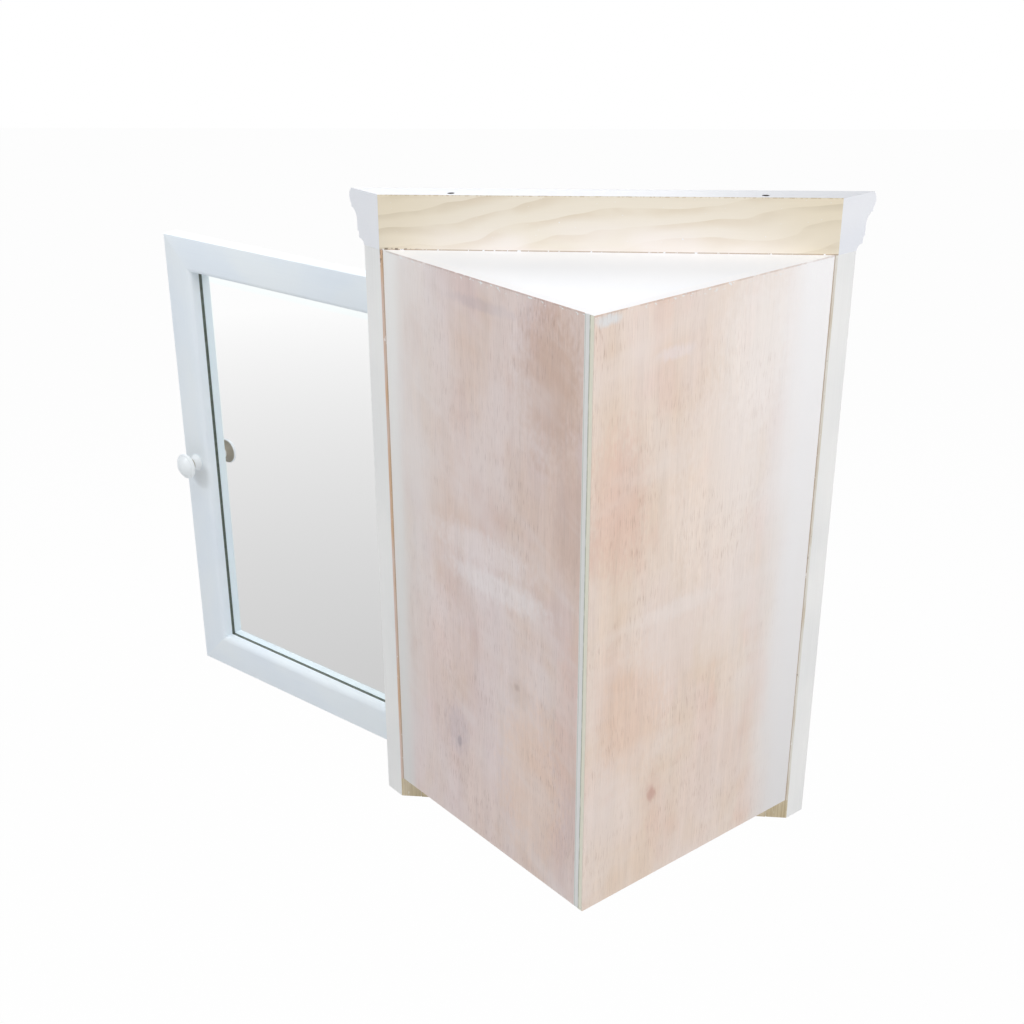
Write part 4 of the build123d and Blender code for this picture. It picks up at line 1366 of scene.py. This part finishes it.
@dataclass(frozen=True)
class Camera:
    """A pinhole camera placed by its position, view direction and roll."""

    position: tuple[float, float, float] = (-0.0406, 1.1351, 0.9196)
    forward: tuple[float, float, float] = (0.1256, -0.9104, -0.4330)
    roll: float = math.radians(-1.219)
    lens: float = 51.88
    sensor: float = 36.0
    shift_right: float = 0.0565
    shift_up: float = 0.0376

    def build(self) -> None:
        """Makes the camera. Its axes are right, up and backward, rolled about the view direction."""
        forward = Vector(self.forward).normalized()
        level = forward.cross(Vector((0, 0, 1))).normalized()
        upright = level.cross(forward)
        right = level * math.cos(self.roll) + upright * math.sin(self.roll)
        up = right.cross(forward)
        data = bpy.data.cameras.new("camera")
        data.lens, data.sensor_width, data.clip_end = self.lens, self.sensor, 60.0
        data.shift_x, data.shift_y = self.shift_right, self.shift_up
        camera = bpy.data.objects.new("camera", data)
        bpy.context.scene.collection.objects.link(camera)
        axes = Matrix((right, up, -forward)).transposed().to_4x4()
        camera.matrix_world = Matrix.Translation(Vector(self.position)) @ axes
        bpy.context.scene.camera = camera


@dataclass(frozen=True)
class Lamp:
    """A soft square lamp that looks at a point of the cabinet."""

    name: str
    position: tuple[float, float, float]
    power: float
    size: float
    colour: Colour
    target: tuple[float, float, float] = (0.0, -0.12, 0.28)

    def build(self) -> None:
        """Makes the lamp."""
        data = bpy.data.lights.new(self.name, "AREA")
        data.energy, data.size, data.color = self.power, self.size, self.colour
        lamp = bpy.data.objects.new(self.name, data)
        lamp.location = self.position
        aim = Vector(self.target) - Vector(self.position)
        lamp.rotation_euler = aim.to_track_quat("-Z", "Y").to_euler()
        bpy.context.scene.collection.objects.link(lamp)


@dataclass
class Studio:
    """A pale floor well below the hanging cabinet, a white surround and soft lamps."""

    floor_level: float = -0.75
    floor_half: float = 9.0
    floor_points: int = 25
    floor_white: float = 0.97
    # Painted shade in reflections: within this distance of the cabinet the floor glows grey to glossy rays.
    shade_within: float = 1.4
    white_beyond: float = 4.7
    reflected_shade: float = 0.60
    ambient: float = 0.43
    lamps: tuple[Lamp, ...] = (
        Lamp("lamp_key", (-1.45, 1.25, 1.55), 22.0, 1.2, (1.0, 0.99, 0.985)),
        Lamp("lamp_top", (0.6, 0.6, 2.8), 9.5, 1.2, (1.0, 1.0, 1.0)),
        Lamp("lamp_front", (0.6, -2.6, 1.6), 25.0, 1.8, (1.0, 1.0, 1.0)),
        Lamp("lamp_side", (1.75, 0.65, 1.75), 12.0, 0.5, (0.97, 0.99, 1.0)),
    )

    def build(self) -> None:
        """Sets up the floor, the surround, the lamps and the camera."""
        bpy.context.scene.view_settings.view_transform = "Standard"
        self.build_floor()
        self.build_surround()
        for lamp in self.lamps:
            lamp.build()
        Camera().build()

    def build_floor(self) -> None:
        """A level sheet with a pale seamless finish, as a grid of points."""
        count = self.floor_points
        steps = np.linspace(-self.floor_half, self.floor_half, count)
        x, y = np.meshgrid(steps, steps, indexing="ij")
        points = np.stack([x, y, np.full_like(x, self.floor_level)], axis=-1).reshape(-1, 3)
        mesh = bpy.data.meshes.new("floor")
        mesh.from_pydata(points.tolist(), [], grid_faces(count, count)[:, ::-1].tolist())
        mesh.materials.append(self.floor_finish())
        floor = bpy.data.objects.new("floor", mesh)
        bpy.context.scene.collection.objects.link(floor)

    def floor_finish(self) -> Material:
        """Pale matt paper, white to the camera; to reflections it glows white far off and grey near the
        cabinet as painted shade.
        """
        recipe = Recipe("floor_paper")
        x, y, z = recipe.place()
        fibre = recipe.noise(x * 40, y * 40, z, 3)
        colour = recipe.dimmed(shade(250, 250, 250), 0.985 + fibre * 0.02)
        recipe.finish(colour, 0.9, 0.0, Specular_IOR_Level=0.0)
        rays = recipe.node("ShaderNodeLightPath").outputs
        # Painted shade: reflections see the floor grey near the cabinet and white far off.
        far = ((x * x + y * y) ** 0.5).line(self.shade_within, self.white_beyond)
        white = (1.0, 1.0, 1.0)
        shaded_glow = recipe.dimmed(white, recipe.level(far, self.reflected_shade, 1.0))
        paper = recipe.shader.outputs[0]
        camera = Wire(recipe, rays["Is Camera Ray"]) * self.floor_white
        for share, light in ((rays["Is Glossy Ray"], shaded_glow), (camera, white)):
            shown = recipe.node("ShaderNodeEmission", {}, {"Color": light, "Strength": 1.0}).outputs[0]
            paper = recipe.node("ShaderNodeMixShader", {}, {0: share, 1: paper, 2: shown}).outputs[0]
        recipe.feed(recipe.output.inputs["Surface"], paper)
        return recipe.material

    def build_surround(self) -> None:
        """An even surround: plain light on the object, and white where the camera or a reflection sees it."""
        world = bpy.data.worlds.new("surround")
        bpy.context.scene.world = world
        world.use_nodes = True
        tree = world.node_tree
        tree.nodes.clear()
        rays = tree.nodes.new("ShaderNodeLightPath")
        seen = tree.nodes.new("ShaderNodeMath")
        seen.operation = "MAXIMUM"
        tree.links.new(rays.outputs["Is Camera Ray"], seen.inputs[0])
        tree.links.new(rays.outputs["Is Glossy Ray"], seen.inputs[1])
        mixed = tree.nodes.new("ShaderNodeMixShader")
        tree.links.new(seen.outputs[0], mixed.inputs[0])
        for slot, strength in ((1, self.ambient), (2, 1.0)):
            background = tree.nodes.new("ShaderNodeBackground")
            background.inputs["Color"].default_value = (1.0, 1.0, 1.0, 1.0)
            background.inputs["Strength"].default_value = strength
            tree.links.new(background.outputs[0], mixed.inputs[slot])
        output = tree.nodes.new("ShaderNodeOutputWorld")
        tree.links.new(mixed.outputs[0], output.inputs["Surface"])


def main() -> None:
    """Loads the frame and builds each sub-assembly in order."""
    logging.basicConfig(level=logging.INFO, format="%(name)s %(message)s")
    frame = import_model()
    nodes = frame["nodes"]
    plan = Plan()
    palette = Palette(plan)
    Box(plan, palette, nodes).build()
    FaceFrame(plan, palette).build()
    Cornice(plan, palette).build()
    Door(plan, palette, nodes).build()
    Knob(plan, palette).build()
    Fittings(plan, palette, nodes).build()
    Studio().build()


if __name__ == "__main__":
    main()
